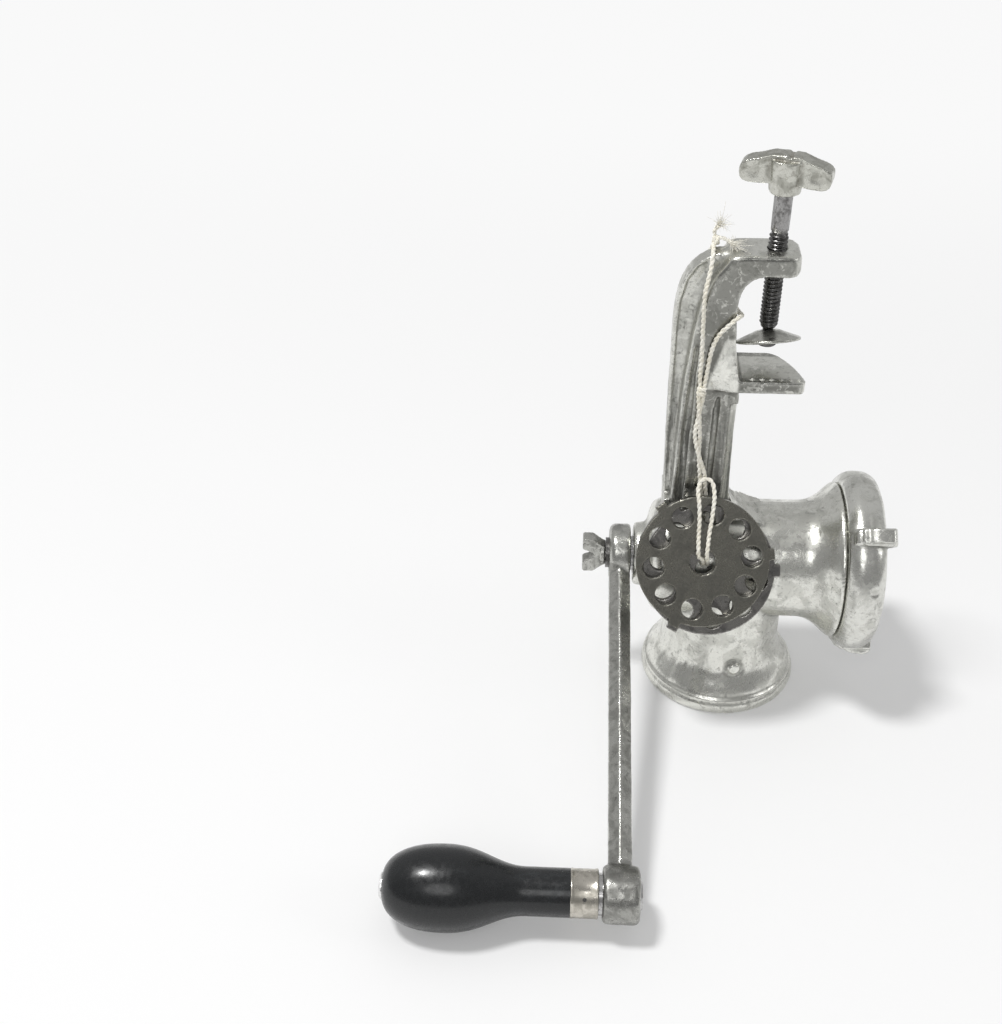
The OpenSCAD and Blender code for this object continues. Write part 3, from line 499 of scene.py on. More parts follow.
def make_patina_group():
    """Bright metal that has gone dull in patches, with dirt and painted shade in the hollows and
    worn bright edges; its masks also carry painted shade and painted highlights.
    """
    group, given, result = shader_group(
        "patina",
        [("Bright", "NodeSocketColor", grey(0.75)), ("Dull", "NodeSocketColor", grey(0.5)),
         ("Dark", "NodeSocketColor", grey(0.15)), ("Patch Scale", "NodeSocketFloat", 110.0),
         ("Tarnish", "NodeSocketFloat", 0.3), ("Polish", "NodeSocketFloat", 0.3)],
        [("Color", "NodeSocketColor"), ("Roughness", "NodeSocketFloat"),
         ("Metal", "NodeSocketFloat"), ("Height", "NodeSocketFloat")])
    t = Tree(group)
    scale = given.outputs["Patch Scale"]
    broad = t.noise(scale, 5.0, 0.62, warp=0.6)
    patches = t.span(broad, 0.42, 0.62)
    fine_scale = t.math("MULTIPLY", scale, 7.0)
    fine = t.noise(fine_scale, 8.0, 0.72)
    specks = t.span(fine, 0.54, 0.68)
    blotchy = t.noise(t.math("MULTIPLY", scale, 2.6), 7.0, 0.7, warp=0.8)
    blots = t.span(blotchy, 0.54, 0.66)
    streaks = t.noise(320.0, 6.0, 0.7, place=t.stretched(1.0, 1.0, 0.10), warp=0.3)
    streak_mask = t.math("MULTIPLY", t.painted("streak"), t.span(streaks, 0.42, 0.6))
    # hollow darkens the recesses: dirt, and painted shade
    hollow = t.math("MULTIPLY", t.painted("hollow"), t.span(fine, 0.30, 0.55, 0.55, 1.0))
    grime_and_shade = t.math("MULTIPLY", t.math("ADD", specks, blots), given.outputs["Tarnish"])
    grime_and_shade = t.math("ADD", grime_and_shade, t.math("MULTIPLY", hollow, 0.9))
    grime_and_shade = t.math("ADD", grime_and_shade, streak_mask, clamp=True)
    # painted shade on the leg's flat sides, and a duller tone on the shelf's sides and the handle
    # boss
    dull_and_shade_patch = t.math("MULTIPLY", t.painted("dull_and_shade"), t.span(blotchy, 0.64, 0.54))
    base = t.mix(patches, given.outputs["Bright"], given.outputs["Dull"])
    base = t.mix(t.math("MULTIPLY", dull_and_shade_patch, 0.85), base, given.outputs["Dark"])
    base = t.mix(t.math("MULTIPLY", grime_and_shade, 0.85), base, given.outputs["Dark"])
    # worn edges lighten; this mask also carries painted highlights on the back plate's facet and
    # the shelf's top
    worn_edge_and_highlight = t.math("MULTIPLY", t.painted("edge"), t.span(fine, 0.35, 0.6, 1.0, 0.35))
    base = t.mix(t.math("MULTIPLY", worn_edge_and_highlight, 0.75), base, given.outputs["Bright"])
    rough = t.span(patches, 0.0, 1.0, 0.26, 0.40)
    rough = t.math("ADD", rough, t.math("MULTIPLY", grime_and_shade, 0.28))
    rough = t.math("SUBTRACT", rough, t.math("MULTIPLY", worn_edge_and_highlight, 0.06))
    rough = t.math("SUBTRACT", rough, t.math("MULTIPLY", given.outputs["Polish"], 0.15))
    metal = t.span(grime_and_shade, 0.0, 1.0, 1.0, 0.55)
    pits = t.span(t.cells(t.math("MULTIPLY", scale, 9.0)), 0.05, 0.35)
    height = t.math("ADD", t.math("MULTIPLY", fine, 0.7), t.math("MULTIPLY", pits, 0.3))
    height = t.math("SUBTRACT", height, t.math("MULTIPLY", grime_and_shade, 0.25))
    for label, value in zip(("Color", "Roughness", "Metal", "Height"),
                            (base, rough, metal, height)):
        t.join(value, result.inputs[label])
    return group


def make_grain_group():
    """Fine even grain: a shade that varies, and a height for bump."""
    group, given, result = shader_group(
        "grain",
        [("Light", "NodeSocketColor", grey(0.8)), ("Shade", "NodeSocketColor", grey(0.6)),
         ("Scale", "NodeSocketFloat", 900.0)],
        [("Color", "NodeSocketColor"), ("Roughness", "NodeSocketFloat"),
         ("Height", "NodeSocketFloat")])
    t = Tree(group)
    fine = t.noise(given.outputs["Scale"], 6.0, 0.65)
    broad = t.noise(t.math("MULTIPLY", given.outputs["Scale"], 0.12), 4.0, 0.6)
    shade = t.span(t.math("ADD", t.math("MULTIPLY", fine, 0.5), t.math("MULTIPLY", broad, 0.5)),
                   0.38, 0.62)
    t.join(t.mix(shade, given.outputs["Light"], given.outputs["Shade"]), result.inputs["Color"])
    t.join(t.span(fine, 0.3, 0.7, 0.7, 1.0), result.inputs["Roughness"])
    t.join(fine, result.inputs["Height"])
    return group


PATINA = make_patina_group()
GRAIN = make_grain_group()


def material(name):
    """A new material, its tree and its Principled shader."""
    made = bpy.data.materials.new(name)
    made.use_nodes = True
    t = Tree(made.node_tree)
    shader = made.node_tree.nodes["Principled BSDF"]
    return made, t, shader


def bump(t, shader, height, strength, depth):
    """Fine relief that is depth millimetres deep."""
    node = t.node("Bump", Strength=strength, Distance=mm(depth), Height=height)
    t.join(node.outputs["Normal"], shader.inputs["Normal"])


def worn_metal(name, bright, dull, dark, patch, tarnish, polish, relief=0.35):
    """A metal with the patina group; patch sets how fine its patches are."""
    made, t, shader = material(name)
    skin = t.group(PATINA, Bright=bright, Dull=dull, Dark=dark, Patch_Scale=patch,
                   Tarnish=tarnish, Polish=polish)
    t.join(skin.outputs["Color"], shader.inputs["Base Color"])
    t.join(skin.outputs["Roughness"], shader.inputs["Roughness"])
    t.join(skin.outputs["Metal"], shader.inputs["Metallic"])
    bump(t, shader, skin.outputs["Height"], relief, 0.12)
    return made


def make_materials():
    """All the finishes, by the names that dress() and refinish() use."""
    made = {}
    made["body"] = worn_metal(
        "tinned iron", (0.78, 0.78, 0.73, 1.0), (0.63, 0.63, 0.585, 1.0),
        (0.085, 0.085, 0.075, 1.0), patch=110.0, tarnish=0.42, polish=0.35, relief=0.45)
    made["ring"] = worn_metal(
        "tinned ring", (0.74, 0.74, 0.70, 1.0), (0.60, 0.60, 0.56, 1.0),
        (0.10, 0.10, 0.09, 1.0), patch=100.0, tarnish=0.42, polish=0.35, relief=0.45)
    made["crank"] = worn_metal(
        "worn crank iron", (0.52, 0.52, 0.49, 1.0), (0.30, 0.30, 0.28, 1.0),
        grey(0.05, 0.003), patch=150.0, tarnish=0.65, polish=0.0, relief=0.60)
    made["knob"] = worn_metal(
        "galvanised knob", (0.58, 0.58, 0.53, 1.0), (0.38, 0.38, 0.34, 1.0),
        (0.14, 0.12, 0.09, 1.0), patch=150.0, tarnish=0.45, polish=0.0, relief=0.55)
    made["shank"] = worn_metal(
        "dull shank", grey(0.34, 0.004), grey(0.20, 0.004), grey(0.05, 0.002),
        patch=260.0, tarnish=0.5, polish=0.0, relief=0.4)
    made["thread"] = worn_metal(
        "oiled thread", grey(0.17, 0.002), grey(0.085, 0.002), grey(0.022),
        patch=300.0, tarnish=0.5, polish=0.4, relief=0.2)
    made["pad"] = worn_metal(
        "pale pad", (0.55, 0.55, 0.51, 1.0), (0.38, 0.38, 0.35, 1.0),
        (0.13, 0.105, 0.08, 1.0), patch=220.0, tarnish=0.40, polish=0.0)
    made["steel"] = worn_metal(
        "turned steel", grey(0.52, 0.004), grey(0.36, 0.004), grey(0.10, 0.004),
        patch=220.0, tarnish=0.35, polish=0.3, relief=0.2)
    made["dark_steel"] = worn_metal(
        "blackened steel", grey(0.20, 0.004), grey(0.12, 0.004), grey(0.03, 0.002),
        patch=240.0, tarnish=0.4, polish=0.2)
    made["plate"] = worn_metal(
        "blackened plate", (0.250, 0.243, 0.212, 1.0), (0.150, 0.147, 0.130, 1.0),
        (0.055, 0.053, 0.047, 1.0), patch=120.0, tarnish=0.6, polish=0.0, relief=0.35)
    made["plate_rear"] = worn_metal(
        "worn plate", (0.36, 0.35, 0.33, 1.0), (0.16, 0.155, 0.15, 1.0),
        (0.04, 0.038, 0.035, 1.0), patch=120.0, tarnish=0.6, polish=0.4, relief=0.3)
    made["nickel"] = worn_metal(
        "nickel plate", (0.60, 0.57, 0.51, 1.0), (0.42, 0.40, 0.35, 1.0),
        (0.12, 0.10, 0.08, 1.0), patch=200.0, tarnish=0.30, polish=0.5, relief=0.15)
    made["cap"] = worn_metal(
        "bright cap", grey(0.90, 0.004), grey(0.80, 0.004), grey(0.2, 0.004),
        patch=200.0, tarnish=0.2, polish=0.3, relief=0.15)
    made["lacquer"] = make_lacquer()
    made["cotton"] = make_cotton()
    return made


def make_lacquer():
    made, t, shader = material("black lacquer")
    wear = t.noise(90.0, 8.0, 0.7, place=t.stretched(0.35, 1.0, 1.0))
    color = t.mix(t.span(wear, 0.55, 0.75), (0.011, 0.012, 0.013, 1.0), (0.026, 0.029, 0.031, 1.0))
    t.join(color, shader.inputs["Base Color"])
    t.join(t.span(t.noise(420.0, 6.0, 0.7), 0.35, 0.7, 0.20, 0.38), shader.inputs["Roughness"])
    shader.inputs["Specular IOR Level"].default_value = 0.42
    shader.inputs["Coat Weight"].default_value = 0.15
    shader.inputs["Coat Roughness"].default_value = 0.12
    grain = t.noise(260.0, 5.0, 0.6, place=t.stretched(0.12, 1.0, 1.0))
    bump(t, shader, grain, 0.12, 0.15)
    return made


def make_cotton():
    made, t, shader = material("cotton string")
    fibre = t.group(GRAIN, Light=(0.93, 0.91, 0.84, 1.0), Shade=(0.82, 0.78, 0.66, 1.0),
                    Scale=1400.0)
    t.join(fibre.outputs["Color"], shader.inputs["Base Color"])
    t.join(fibre.outputs["Roughness"], shader.inputs["Roughness"])
    shader.inputs["Sheen Weight"].default_value = 0.25
    shader.inputs["Sheen Roughness"].default_value = 0.5
    bump(t, shader, fibre.outputs["Height"], 0.5, 0.1)
    return made


FINISH = make_materials()

# ---------- placing ----------


def dress(piece, finish, body, *nodes, slot=None):
    """Gives a piece its material and body, and hides the CAD nodes that it stands for."""
    piece.data.materials.clear()
    piece.data.materials.append(FINISH[finish])
    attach(piece, body)
    if nodes:
        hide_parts(*nodes)
    return piece


def refinish(node, finish):
    """A CAD node that stays in view gets its own finish."""
    piece = frame["nodes"][node]
    piece.data.materials.clear()
    piece.data.materials.append(FINISH[finish])


# ---------- body casting ----------

# Where the leg's thin outer web meets its thick block, as [x, z] up the leg and round the bend.
WEB_EDGE = [(LEG_OUT + 3.8, AXIS_Z + 38), (LEG_OUT + 4.2, AXIS_Z + 67),
            (LEG_OUT + 4.7, ARM_TOP - 67), (LEG_OUT + 6.0, ARM_TOP - 50),
            (LEG_OUT + 7.5, ARM_TOP - 35), (LEG_OUT + 9.5, ARM_TOP - 22),
            (LEG_OUT + 12.0, ARM_TOP - 15), (LEG_OUT + 14.3, ARM_TOP - 9.5),
            (LEG_OUT + 18.0, ARM_TOP - 4.5), (LEG_OUT + 21.5, ARM_TOP + 1)]


def web_side(x, z):
    """How far a point lies inwards of the web's edge, in millimetres; negative on the web."""
    line = through([(edge_x, 0.0, edge_z) for edge_x, edge_z in WEB_EDGE], 0.8)[:, (0, 2)]
    away = np.full(len(x), 1e3)
    side = np.ones(len(x))
    for (ax, az), (bx, bz) in zip(line, line[1:]):
        long = math.hypot(bx - ax, bz - az)
        ux, uz = (bx - ax) / long, (bz - az) / long
        t = np.clip((x - ax) * ux + (z - az) * uz, 0, long)
        gap = np.hypot(x - ax - t * ux, z - az - t * uz)
        nearer = gap < away
        away[nearer] = gap[nearer]
        side[nearer] = np.sign((x - ax) * uz - (z - az) * ux)[nearer]
    return away * side


def shape_body(co, out, edges):
    """Foundry details: the round pip, soft flats, the leg's bevel and the arm's round shoulder."""
    x, y, z = co[:, 0], co[:, 1], co[:, 2]
    outside = (x * out[:, 0] + y * out[:, 1]) > 0
    away = np.linalg.norm(co - np.array(PIP), axis=1)
    pip = 1.5 * ramp(away, 3.2, 2.2) - 0.3 * ramp(np.abs(away - 4.4), 1.2, 0.4)
    co = co + out * (pip * outside)[:, None]
    turn = np.degrees(np.arctan2(y, x))
    hopper = ramp(z, 9, 13) * ramp(z, 34, 26) * outside
    for middle in (-118.0, -146.0):
        flat = ramp(np.abs((turn - middle + 180) % 360 - 180), 12, 7)
        co = co - out * (0.35 * flat * hopper)[:, None]
    leg = (z > AXIS_Z + 39.5) & (x < 0) & (np.abs(y) > WEB_HALF - 1.5)
    side = np.full(len(co), 9.0)
    side[leg] = web_side(x[leg], z[leg])
    bevel = ramp(np.abs(side), 3.4, 1.6)
    shoulder = (ramp(z, ARM_TOP - 5.5, ARM_TOP - 3.5) * ramp(x, -16, -11)
                * ramp(np.abs(y), 4.5, 6.5))
    return smooth(co, edges, 34, keep_size=False, mask=np.maximum(bevel, shoulder))


def mark_body(mesh):
    """Paints the casting's masks: painted shade on the leg's flat sides and deeper in its recess,
    dirt streaks, painted highlights on the back plate's facet and the shelf's top, a painted shadow
    line where the back plate meets the shelf, and a darker band on the shelf's sides.
    """
    co = corners(mesh)
    x, y, z = co[:, 0], np.abs(co[:, 1]), co[:, 2]
    rise = (z - SHELF_Z) / BACK_PLATE_H
    leg = ramp(z, AXIS_Z + 24, AXIS_Z + 36) * ramp(x, -3.0, -6.0)
    depth = ramp(y, LEG_HALF - 0.6, LEG_HALF - 4.5)
    # painted shade: the leg's flat sides are darkened as if turned away from the light
    face = (ramp(y, LEG_HALF - 1.2, LEG_HALF - 0.4) * ramp(z, AXIS_Z + 30, AXIS_Z + 44)
            * ramp(x, 22, 14))
    # painted highlight: the back plate's triangular facet is lightened and kept clear of shade
    facet = (ramp(x, -17.5 + 5 * rise, -16.0 + 5 * rise) * ramp(x, JAW_X - 0.4, JAW_X - 1.4)
             * ramp(rise, 1.0, 0.9) * ramp(rise, -0.32, -0.26)
             * ramp(y, LEG_HALF - 0.8, LEG_HALF - 0.2))
    # painted shadow: a dark line where the back plate meets the shelf
    seam_shadow = (ramp(np.abs(x - JAW_X), 1.0, 0.4) * ramp(z, SHELF_Z - 1, SHELF_Z + 1)
            * ramp(y, LEG_HALF - 1, LEG_HALF) * ramp(rise, 1.0, 0.8))
    lip = (ramp(z, SHELF_Z - 6, SHELF_Z - 5) * ramp(z, SHELF_Z + 0.4, SHELF_Z - 0.4)
           * ramp(y, SHELF_HALF - 0.7, SHELF_HALF - 0.2) * ramp(x, JAW_X - 0.9, JAW_X + 0.1))
    # painted highlight: the shelf's flat top is lightened and kept clear of dark
    shelf_highlight = (ramp(z, SHELF_Z - 0.8, SHELF_Z - 0.2) * ramp(z, SHELF_Z + 1.6, SHELF_Z + 1.1)
             * ramp(x, JAW_X + 0.2, JAW_X + 1.4) * ramp(y, SHELF_HALF, SHELF_HALF - 1.0))
    streak = ramp(z, 185, 120) * ramp(z, AXIS_Z + 18, AXIS_Z + 40) * ramp(x, 4, -4)
    # painted shade that deepens into the leg's recess, added to the hollow mask
    hollow = np.maximum(painted(mesh, "hollow"), 0.30 * leg * depth)
    paint(mesh, "streak", 0.8 * streak)
    paint(mesh, "dull_and_shade", np.maximum(0.9 * face * (1 - facet), lip))
    paint(mesh, "hollow", np.maximum(hollow * (1 - facet) * (1 - shelf_highlight), seam_shadow))
    paint(mesh, "edge", np.maximum(painted(mesh, "edge"), np.maximum(facet, 0.7 * shelf_highlight)))


def make_body():
    piece = recast("body_casting", "casting", voxel=0.62, soften=4, extra=shape_body,
                   roughness=0.035, wave=0.07, seed=11)
    mark_body(piece.data)
    dress(piece, "body", "frame", "body_casting", slot="tinned_iron")


def teeth_tree(finish):
    """Geometry nodes: a row of small four-sided teeth."""
    tree = bpy.data.node_groups.new("jaw teeth", "GeometryNodeTree")
    tree.interface.new_socket("Geometry", in_out="OUTPUT", socket_type="NodeSocketGeometry")
    for label, kind, value in (("Count", "NodeSocketInt", 5), ("Spacing", "NodeSocketFloat", 0.005),
                               ("Width", "NodeSocketFloat", 0.0015),
                               ("Height", "NodeSocketFloat", 0.001)):
        socket = tree.interface.new_socket(label, in_out="INPUT", socket_type=kind)
        socket.default_value = value
    given = tree.nodes.new("NodeGroupInput")
    result = tree.nodes.new("NodeGroupOutput")
    row = tree.nodes.new("GeometryNodeMeshLine")
    step = tree.nodes.new("ShaderNodeCombineXYZ")
    tooth = tree.nodes.new("GeometryNodeMeshCone")
    copies = tree.nodes.new("GeometryNodeInstanceOnPoints")
    real = tree.nodes.new("GeometryNodeRealizeInstances")
    paint_it = tree.nodes.new("GeometryNodeSetMaterial")
    tooth.inputs["Vertices"].default_value = 4
    paint_it.inputs["Material"].default_value = finish
    links = tree.links
    links.new(given.outputs["Count"], row.inputs["Count"])
    links.new(given.outputs["Spacing"], step.inputs["X"])
    links.new(step.outputs["Vector"], row.inputs["Offset"])
    links.new(given.outputs["Width"], tooth.inputs["Radius Bottom"])
    links.new(given.outputs["Height"], tooth.inputs["Depth"])
    links.new(row.outputs["Mesh"], copies.inputs["Points"])
    links.new(tooth.outputs["Mesh"], copies.inputs["Instance"])
    links.new(copies.outputs["Instances"], real.inputs["Geometry"])
    links.new(real.outputs["Geometry"], paint_it.inputs["Geometry"])
    links.new(paint_it.outputs["Geometry"], result.inputs["Geometry"])
    return tree


def grown(name, tree, place, **values):
    """The plain mesh that a geometry node tree makes, at place in metres."""
    holder = link(name + "_holder", bpy.data.meshes.new(name + "_holder"))
    modifier = holder.modifiers.new("grow", "NODES")
    modifier.node_group = tree
    for item in tree.interface.items_tree:
        if item.in_out == "INPUT" and item.name in values:
            modifier[item.identifier] = values[item.name]
    depsgraph = bpy.context.evaluated_depsgraph_get()
    mesh = bpy.data.meshes.new_from_object(holder.evaluated_get(depsgraph))
    mesh.transform(place)
    bpy.data.objects.remove(holder)
    return link(name, mesh)


def make_teeth():
    tree = teeth_tree(FINISH["body"])
    start = Vector(mm(0.5, -SHELF_HALF + 2.4, SHELF_Z - 0.1))
    teeth = grown("jaw_teeth", tree, Matrix.Translation(start), Count=6, Spacing=mm(3.9),
                  Width=mm(1.5), Height=mm(0.9))
    dress(teeth, "body", "frame", slot="tinned_iron")


# ---------- ring nut ----------


# Two dents in the ring's side: the place, how wide and how deep.
RING_DENTS = (((62.0, -32.0, 48.0), 4.0, 0.5), ((60.0, -38.5, 77.5), 3.0, 0.35))


def shape_ring(co, out, edges):
    """Lugs that grow out of the ring as ridges, worn round, and two dents on its side."""
    turn = np.degrees(np.arctan2(co[:, 2] - AXIS_Z, -co[:, 1]))
    reach = np.hypot(co[:, 1], co[:, 2] - AXIS_Z)
    from_lug = np.radians(np.abs((turn - LUG_ANGLE + 60) % 120 - 60)) * RING_R
    ridge = (ramp(from_lug, 3.9, 2.7) * ramp(co[:, 0], RING_LOW[0] + 1.0, RING_LOW[0] + 4.5)
             * ramp(reach, RING_R - 2.5, RING_R - 1.0) * ramp(reach, RING_R + 2.4, RING_R + 1.0))
    co = co + out * (1.3 * ridge)[:, None]
    lug = ramp(np.maximum(reach - RING_R, co[:, 0] - RING_LOW[0] - RING_DEEP), -1.0, 0.8)
    co = smooth(co, edges, 24, mask=lug)
    for place, width, deep in RING_DENTS:
        away = np.linalg.norm(co - np.array(place), axis=1)
        co = co - out * (deep * ramp(away, width, width * 0.3))[:, None]
    return co


def make_ring():
    piece = recast("ring_nut", "ring", voxel=0.5, soften=3, extra=shape_ring,
                   roughness=0.03, wave=0.09, seed=21)
    dress(piece, "ring", "outlet_ring", "ring_nut", slot="ring_tin")


# ---------- crank, thumb screw and handle ----------


def boss_mask(co):
    """1 on the crank's handle boss and 0 on its arm."""
    return ramp(np.hypot(co[:, 1] - HANDLE_Y, co[:, 2] - HANDLE_Z), 14.5, 12.5)


def shape_crank(co, out, edges):
    """The handle boss is worn round and battered, the hub less so and the arm a little."""
    boss = boss_mask(co)
    hub = ramp(np.hypot(co[:, 1], co[:, 2] - AXIS_Z), 16.5, 14.5)
    worn = np.maximum(np.maximum(boss, 0.35 * hub), 0.16)
    co = smooth(co, edges, 22, keep_size=False, mask=worn)
    return co + out * (0.22 * boss * lumps(co, 5.0, 35))[:, None]


def thumb_block():
    """The thumb screw's two thick ears with a notch between them."""
    root, tip, half = THUMB_ROOT, THUMB_LOW[0], (THUMB_HIGH[2] - THUMB_LOW[2]) / 2
    upper = [(root, 4.9), (root - 1.4, 5.6), (root - 3.4, 7.2), (root - 5.6, half - 0.2),
             (tip + 0.8, half), (tip, half - 0.8), (tip, 3.9), (tip + 0.7, 3.2),
             (tip + 2.6, 2.4), (tip + 5.2, 0.9)]
    outline = upper + [(x, -z) for x, z in reversed(upper)]
    count = len(outline)
    points = [(x, y, AXIS_Z + z) for y in (-THUMB_HALF, THUMB_HALF) for x, z in outline]
    return mesh_of("thumb_block", points, closed_walls(2, count))


def make_crank():
    piece = recast("crank_arm", "crank", voxel=0.45, soften=5, extra=shape_crank,
                   roughness=0.05, wave=0.10, seed=31)
    paint(piece.data, "dull_and_shade", 0.4 * boss_mask(corners(piece.data)))
    dress(piece, "crank", "drive", "crank_arm", slot="crank_iron")
    refinish("thumb_washer", "dark_steel")
    refinish("handle_spindle", "steel")
    refinish("grip_washer", "steel")
    refinish("spindle_cap", "cap")


def make_thumb_screw():
    """The ears, and the shank and collar that they stand on."""
    ears = recast("thumb_screw", "thumb_ears", voxel=0.32, soften=9, extra=None,
                  roughness=0.04, wave=0.06, seed=41, base=thumb_block())
    dress(ears, "crank", "crank_fixing", "thumb_screw", slot="crank_iron")
    end, root, shank_r, collar_r = THUMB_HIGH[0], THUMB_ROOT, 2.9, 5.2
    outline = [[end, 0.0], [end, shank_r - 0.3], [end - 0.4, shank_r], [root - 0.3, shank_r],
               [root - 0.3, collar_r - 0.4], [root - 0.8, collar_r], [root - 2.0, collar_r],
               [root - 2.6, collar_r - 0.6], [root - 2.6, 0.0]]
    shank = lathe("thumb_shank", outline, (0.0, AXIS_Z), 64)
    dress(shank, "crank", "crank_fixing", slot="crank_iron")


def make_grip():
    tip, end = GRIP_LOW[0], FERRULE_LOW[0]
    length = end - tip
    belly_r = (GRIP_HIGH[1] - GRIP_LOW[1]) / 2
    neck_r = (FERRULE_HIGH[1] - FERRULE_LOW[1]) / 2 - 0.25
    cap_r, bore_r = 5.5, 3.6
    waist, belly = end - 0.24 * length, end - 0.66 * length
    outline = [[GRIP_HIGH[0], bore_r], [tip, bore_r], [tip, cap_r - 0.5]]
    outline += curve([tip, cap_r + 0.4], [tip + 1.5, belly_r * 0.72],
                     [tip + 10, belly_r * 1.02], [belly, belly_r], 28)
    outline += curve([belly + 1.5, belly_r], [belly + 15, belly_r * 0.96],
                     [waist - 11, neck_r + 0.2], [waist, neck_r], 28)
    outline += [[end, neck_r], [end, neck_r - 0.57], [GRIP_HIGH[0], neck_r - 0.57],
                [GRIP_HIGH[0], bore_r]]
    piece = lathe("wood_grip", outline, (HANDLE_Y, HANDLE_Z))
    dress(piece, "lacquer", "handle", "grip", slot="black_wood")


def make_ferrule():
    low, high = FERRULE_LOW[0], FERRULE_HIGH[0]
    r = (FERRULE_HIGH[1] - FERRULE_LOW[1]) / 2
    inner = r - 0.8
    outline = [[low, inner], [low, r - 0.35]]
    outline += curve([low, r - 0.3], [low + 0.1, r], [low + 0.6, r], [low + 1.0, r - 0.12], 5)
    outline += [[low + 1.5, r - 0.22], [high - 1.5, r - 0.22]]
    outline += curve([high - 1.0, r - 0.12], [high - 0.6, r], [high - 0.1, r], [high, r - 0.3], 5)
    outline += [[high, inner], [low, inner]]
    piece = lathe("ferrule_band", outline, (HANDLE_Y, HANDLE_Z))
    dress(piece, "nickel", "handle", "ferrule", slot="nickel")
    refinish("ferrule_pin", "dark_steel")


# ---------- clamp ----------


def make_thread():
    """The clamp screw's thread, cut as a true helix from its shoulder to its run-out."""
    sides = 48
    crest, root, floor = 3.9, 3.0, 3.15
    heights = np.arange(THREAD_BOTTOM, THREAD_TOP + 0.001, 0.125)
    angles = np.linspace(0, 2 * math.pi, sides, endpoint=False)
    z, a = np.meshgrid(heights, angles, indexing="ij")
    phase = (z / THREAD_PITCH - a / (2 * math.pi)) % 1.0
    wave = np.clip(np.abs(phase - 0.5) * 2.6 - 0.15, 0, 1)
    taper = np.minimum(ramp(z, THREAD_BOTTOM, THREAD_BOTTOM + 1.6),
                       ramp(z, THREAD_TOP, THREAD_TOP - 2.0))
    r = floor + (crest - (crest - root) * wave - floor) * taper
    points = np.stack([SCREW_X + r * np.cos(a), r * np.sin(a), z], axis=-1).reshape(-1, 3).tolist()
    piece = turned("clamp_thread", points, closed_walls(len(heights), sides), 60)
    dress(piece, "thread", "clamp_spindle", "clamp_screw", slot="dark_steel")


def make_shank():
    """The plain shank with soft flutes between the thread and the knob."""
    sides, shank_r, flute, foot_r = 64, 3.55, 0.16, 3.1
    sections = [(THREAD_TOP - 0.4, foot_r), (THREAD_TOP, foot_r)]
    for z in (THREAD_TOP + 0.6, 234, 238, 242, 246, 250):
        deep = flute * min(1.0, (z - THREAD_TOP) / 2)
        sections.append((z, lambda a, deep=deep: shank_r + deep * math.cos(8 * a)))
    points = upright(SCREW_X, sections, sides)
    piece = turned("clamp_shank", points, closed_walls(len(sections), sides), 50)
    dress(piece, "shank", "clamp_spindle", slot="knob_iron")


def make_neck():
    """The turned neck and the peened end that carry the pad."""
    sides, neck, peen, seat = 48, 2.2, 4.4, 3.0
    low, top = SCREW_LOW[2], THREAD_BOTTOM + 0.4
    outline = [[low, 0.0], [low, peen - 1.2]]
    outline += curve([low + 0.1, peen - 0.6], [low + 0.3, peen], [low + 0.9, peen],
                     [low + 1.6, peen - 0.3], 5)
    outline += [[low + 1.65, neck], [top - 0.9, neck], [top - 0.3, seat], [top, seat],
                [top, 0.0]]
    points = upright(SCREW_X, outline, sides)
    piece = turned("clamp_neck", points, walls(len(outline), sides), 40)
    dress(piece, "thread", "clamp_spindle", slot="dark_steel")


def shape_knob(co, out, edges):
    """A soft dimple in each wing, a faceted boss and a small notch on top."""
    turn = math.radians(KNOB_TURN)
    x, y, z = co[:, 0] - SCREW_X, co[:, 1], co[:, 2] - KNOB_LOW[2]
    along = x * math.cos(turn) + y * math.sin(turn)
    across = y * math.cos(turn) - x * math.sin(turn)
    span = np.hypot((np.abs(along) - 12.4) / 4.4, (z - 8.6) / 3.6)
    dimple = ramp(span, 1.0, 0.25) * (np.abs(across) > 2.5)
    co = co - out * (0.3 * dimple)[:, None]
    spoke = np.degrees(np.arctan2(across, along))
    facet = np.cos(np.radians(((spoke + 30) % 60) - 30))
    boss = ramp(np.hypot(along, across), 4.5, 5.5) * ramp(np.abs(along), 8.0, 6.5)
    level = np.abs(out[:, 2]) < 0.6
    co = co + out * (2.5 * (facet - 0.95) * boss * level)[:, None]
    notch = ramp(np.abs(along - 1.5), 1.5, 0.3) * ramp(z, 13.5, 14.6)
    co = co - np.array([0, 0, 1.0]) * (0.7 * notch)[:, None]
    return smooth(co, edges, 8)


def make_clamp():
    make_thread()
    make_shank()
    make_neck()
    knob = recast("clamp_knob", "knob", voxel=0.4, soften=4, extra=shape_knob,
                  roughness=0.06, wave=0.06, seed=51)
    dress(knob, "knob", "clamp_spindle", "clamp_knob", slot="knob_iron")
    pad = recast("clamp_pad", "pad", voxel=0.3, soften=2, extra=None,
                 roughness=0.03, wave=0.03, seed=61)
    dress(pad, "pad", "clamp_foot", "clamp_pad", slot="ring_tin")


# ---------- plates ----------


def make_plates():
    front = recast("spare_plate_front", "plate_front", voxel=0.42, soften=1, extra=None,
                   roughness=0.02, wave=0.02, seed=71)
    dress(front, "plate", "spare_plates", "spare_plate_front", slot="plate_dark")
    rear = recast("spare_plate_rear", "plate_back", voxel=0.42, soften=1, extra=None,
                  roughness=0.02, wave=0.02, seed=81)
    dress(rear, "plate_rear", "spare_plates", "spare_plate_rear", slot="plate_bright")
    for node in ("hole_plate", "knife", "knife_stud", "thrust_washer", "feed_screw"):
        refinish(node, "steel")


# ---------- string ----------

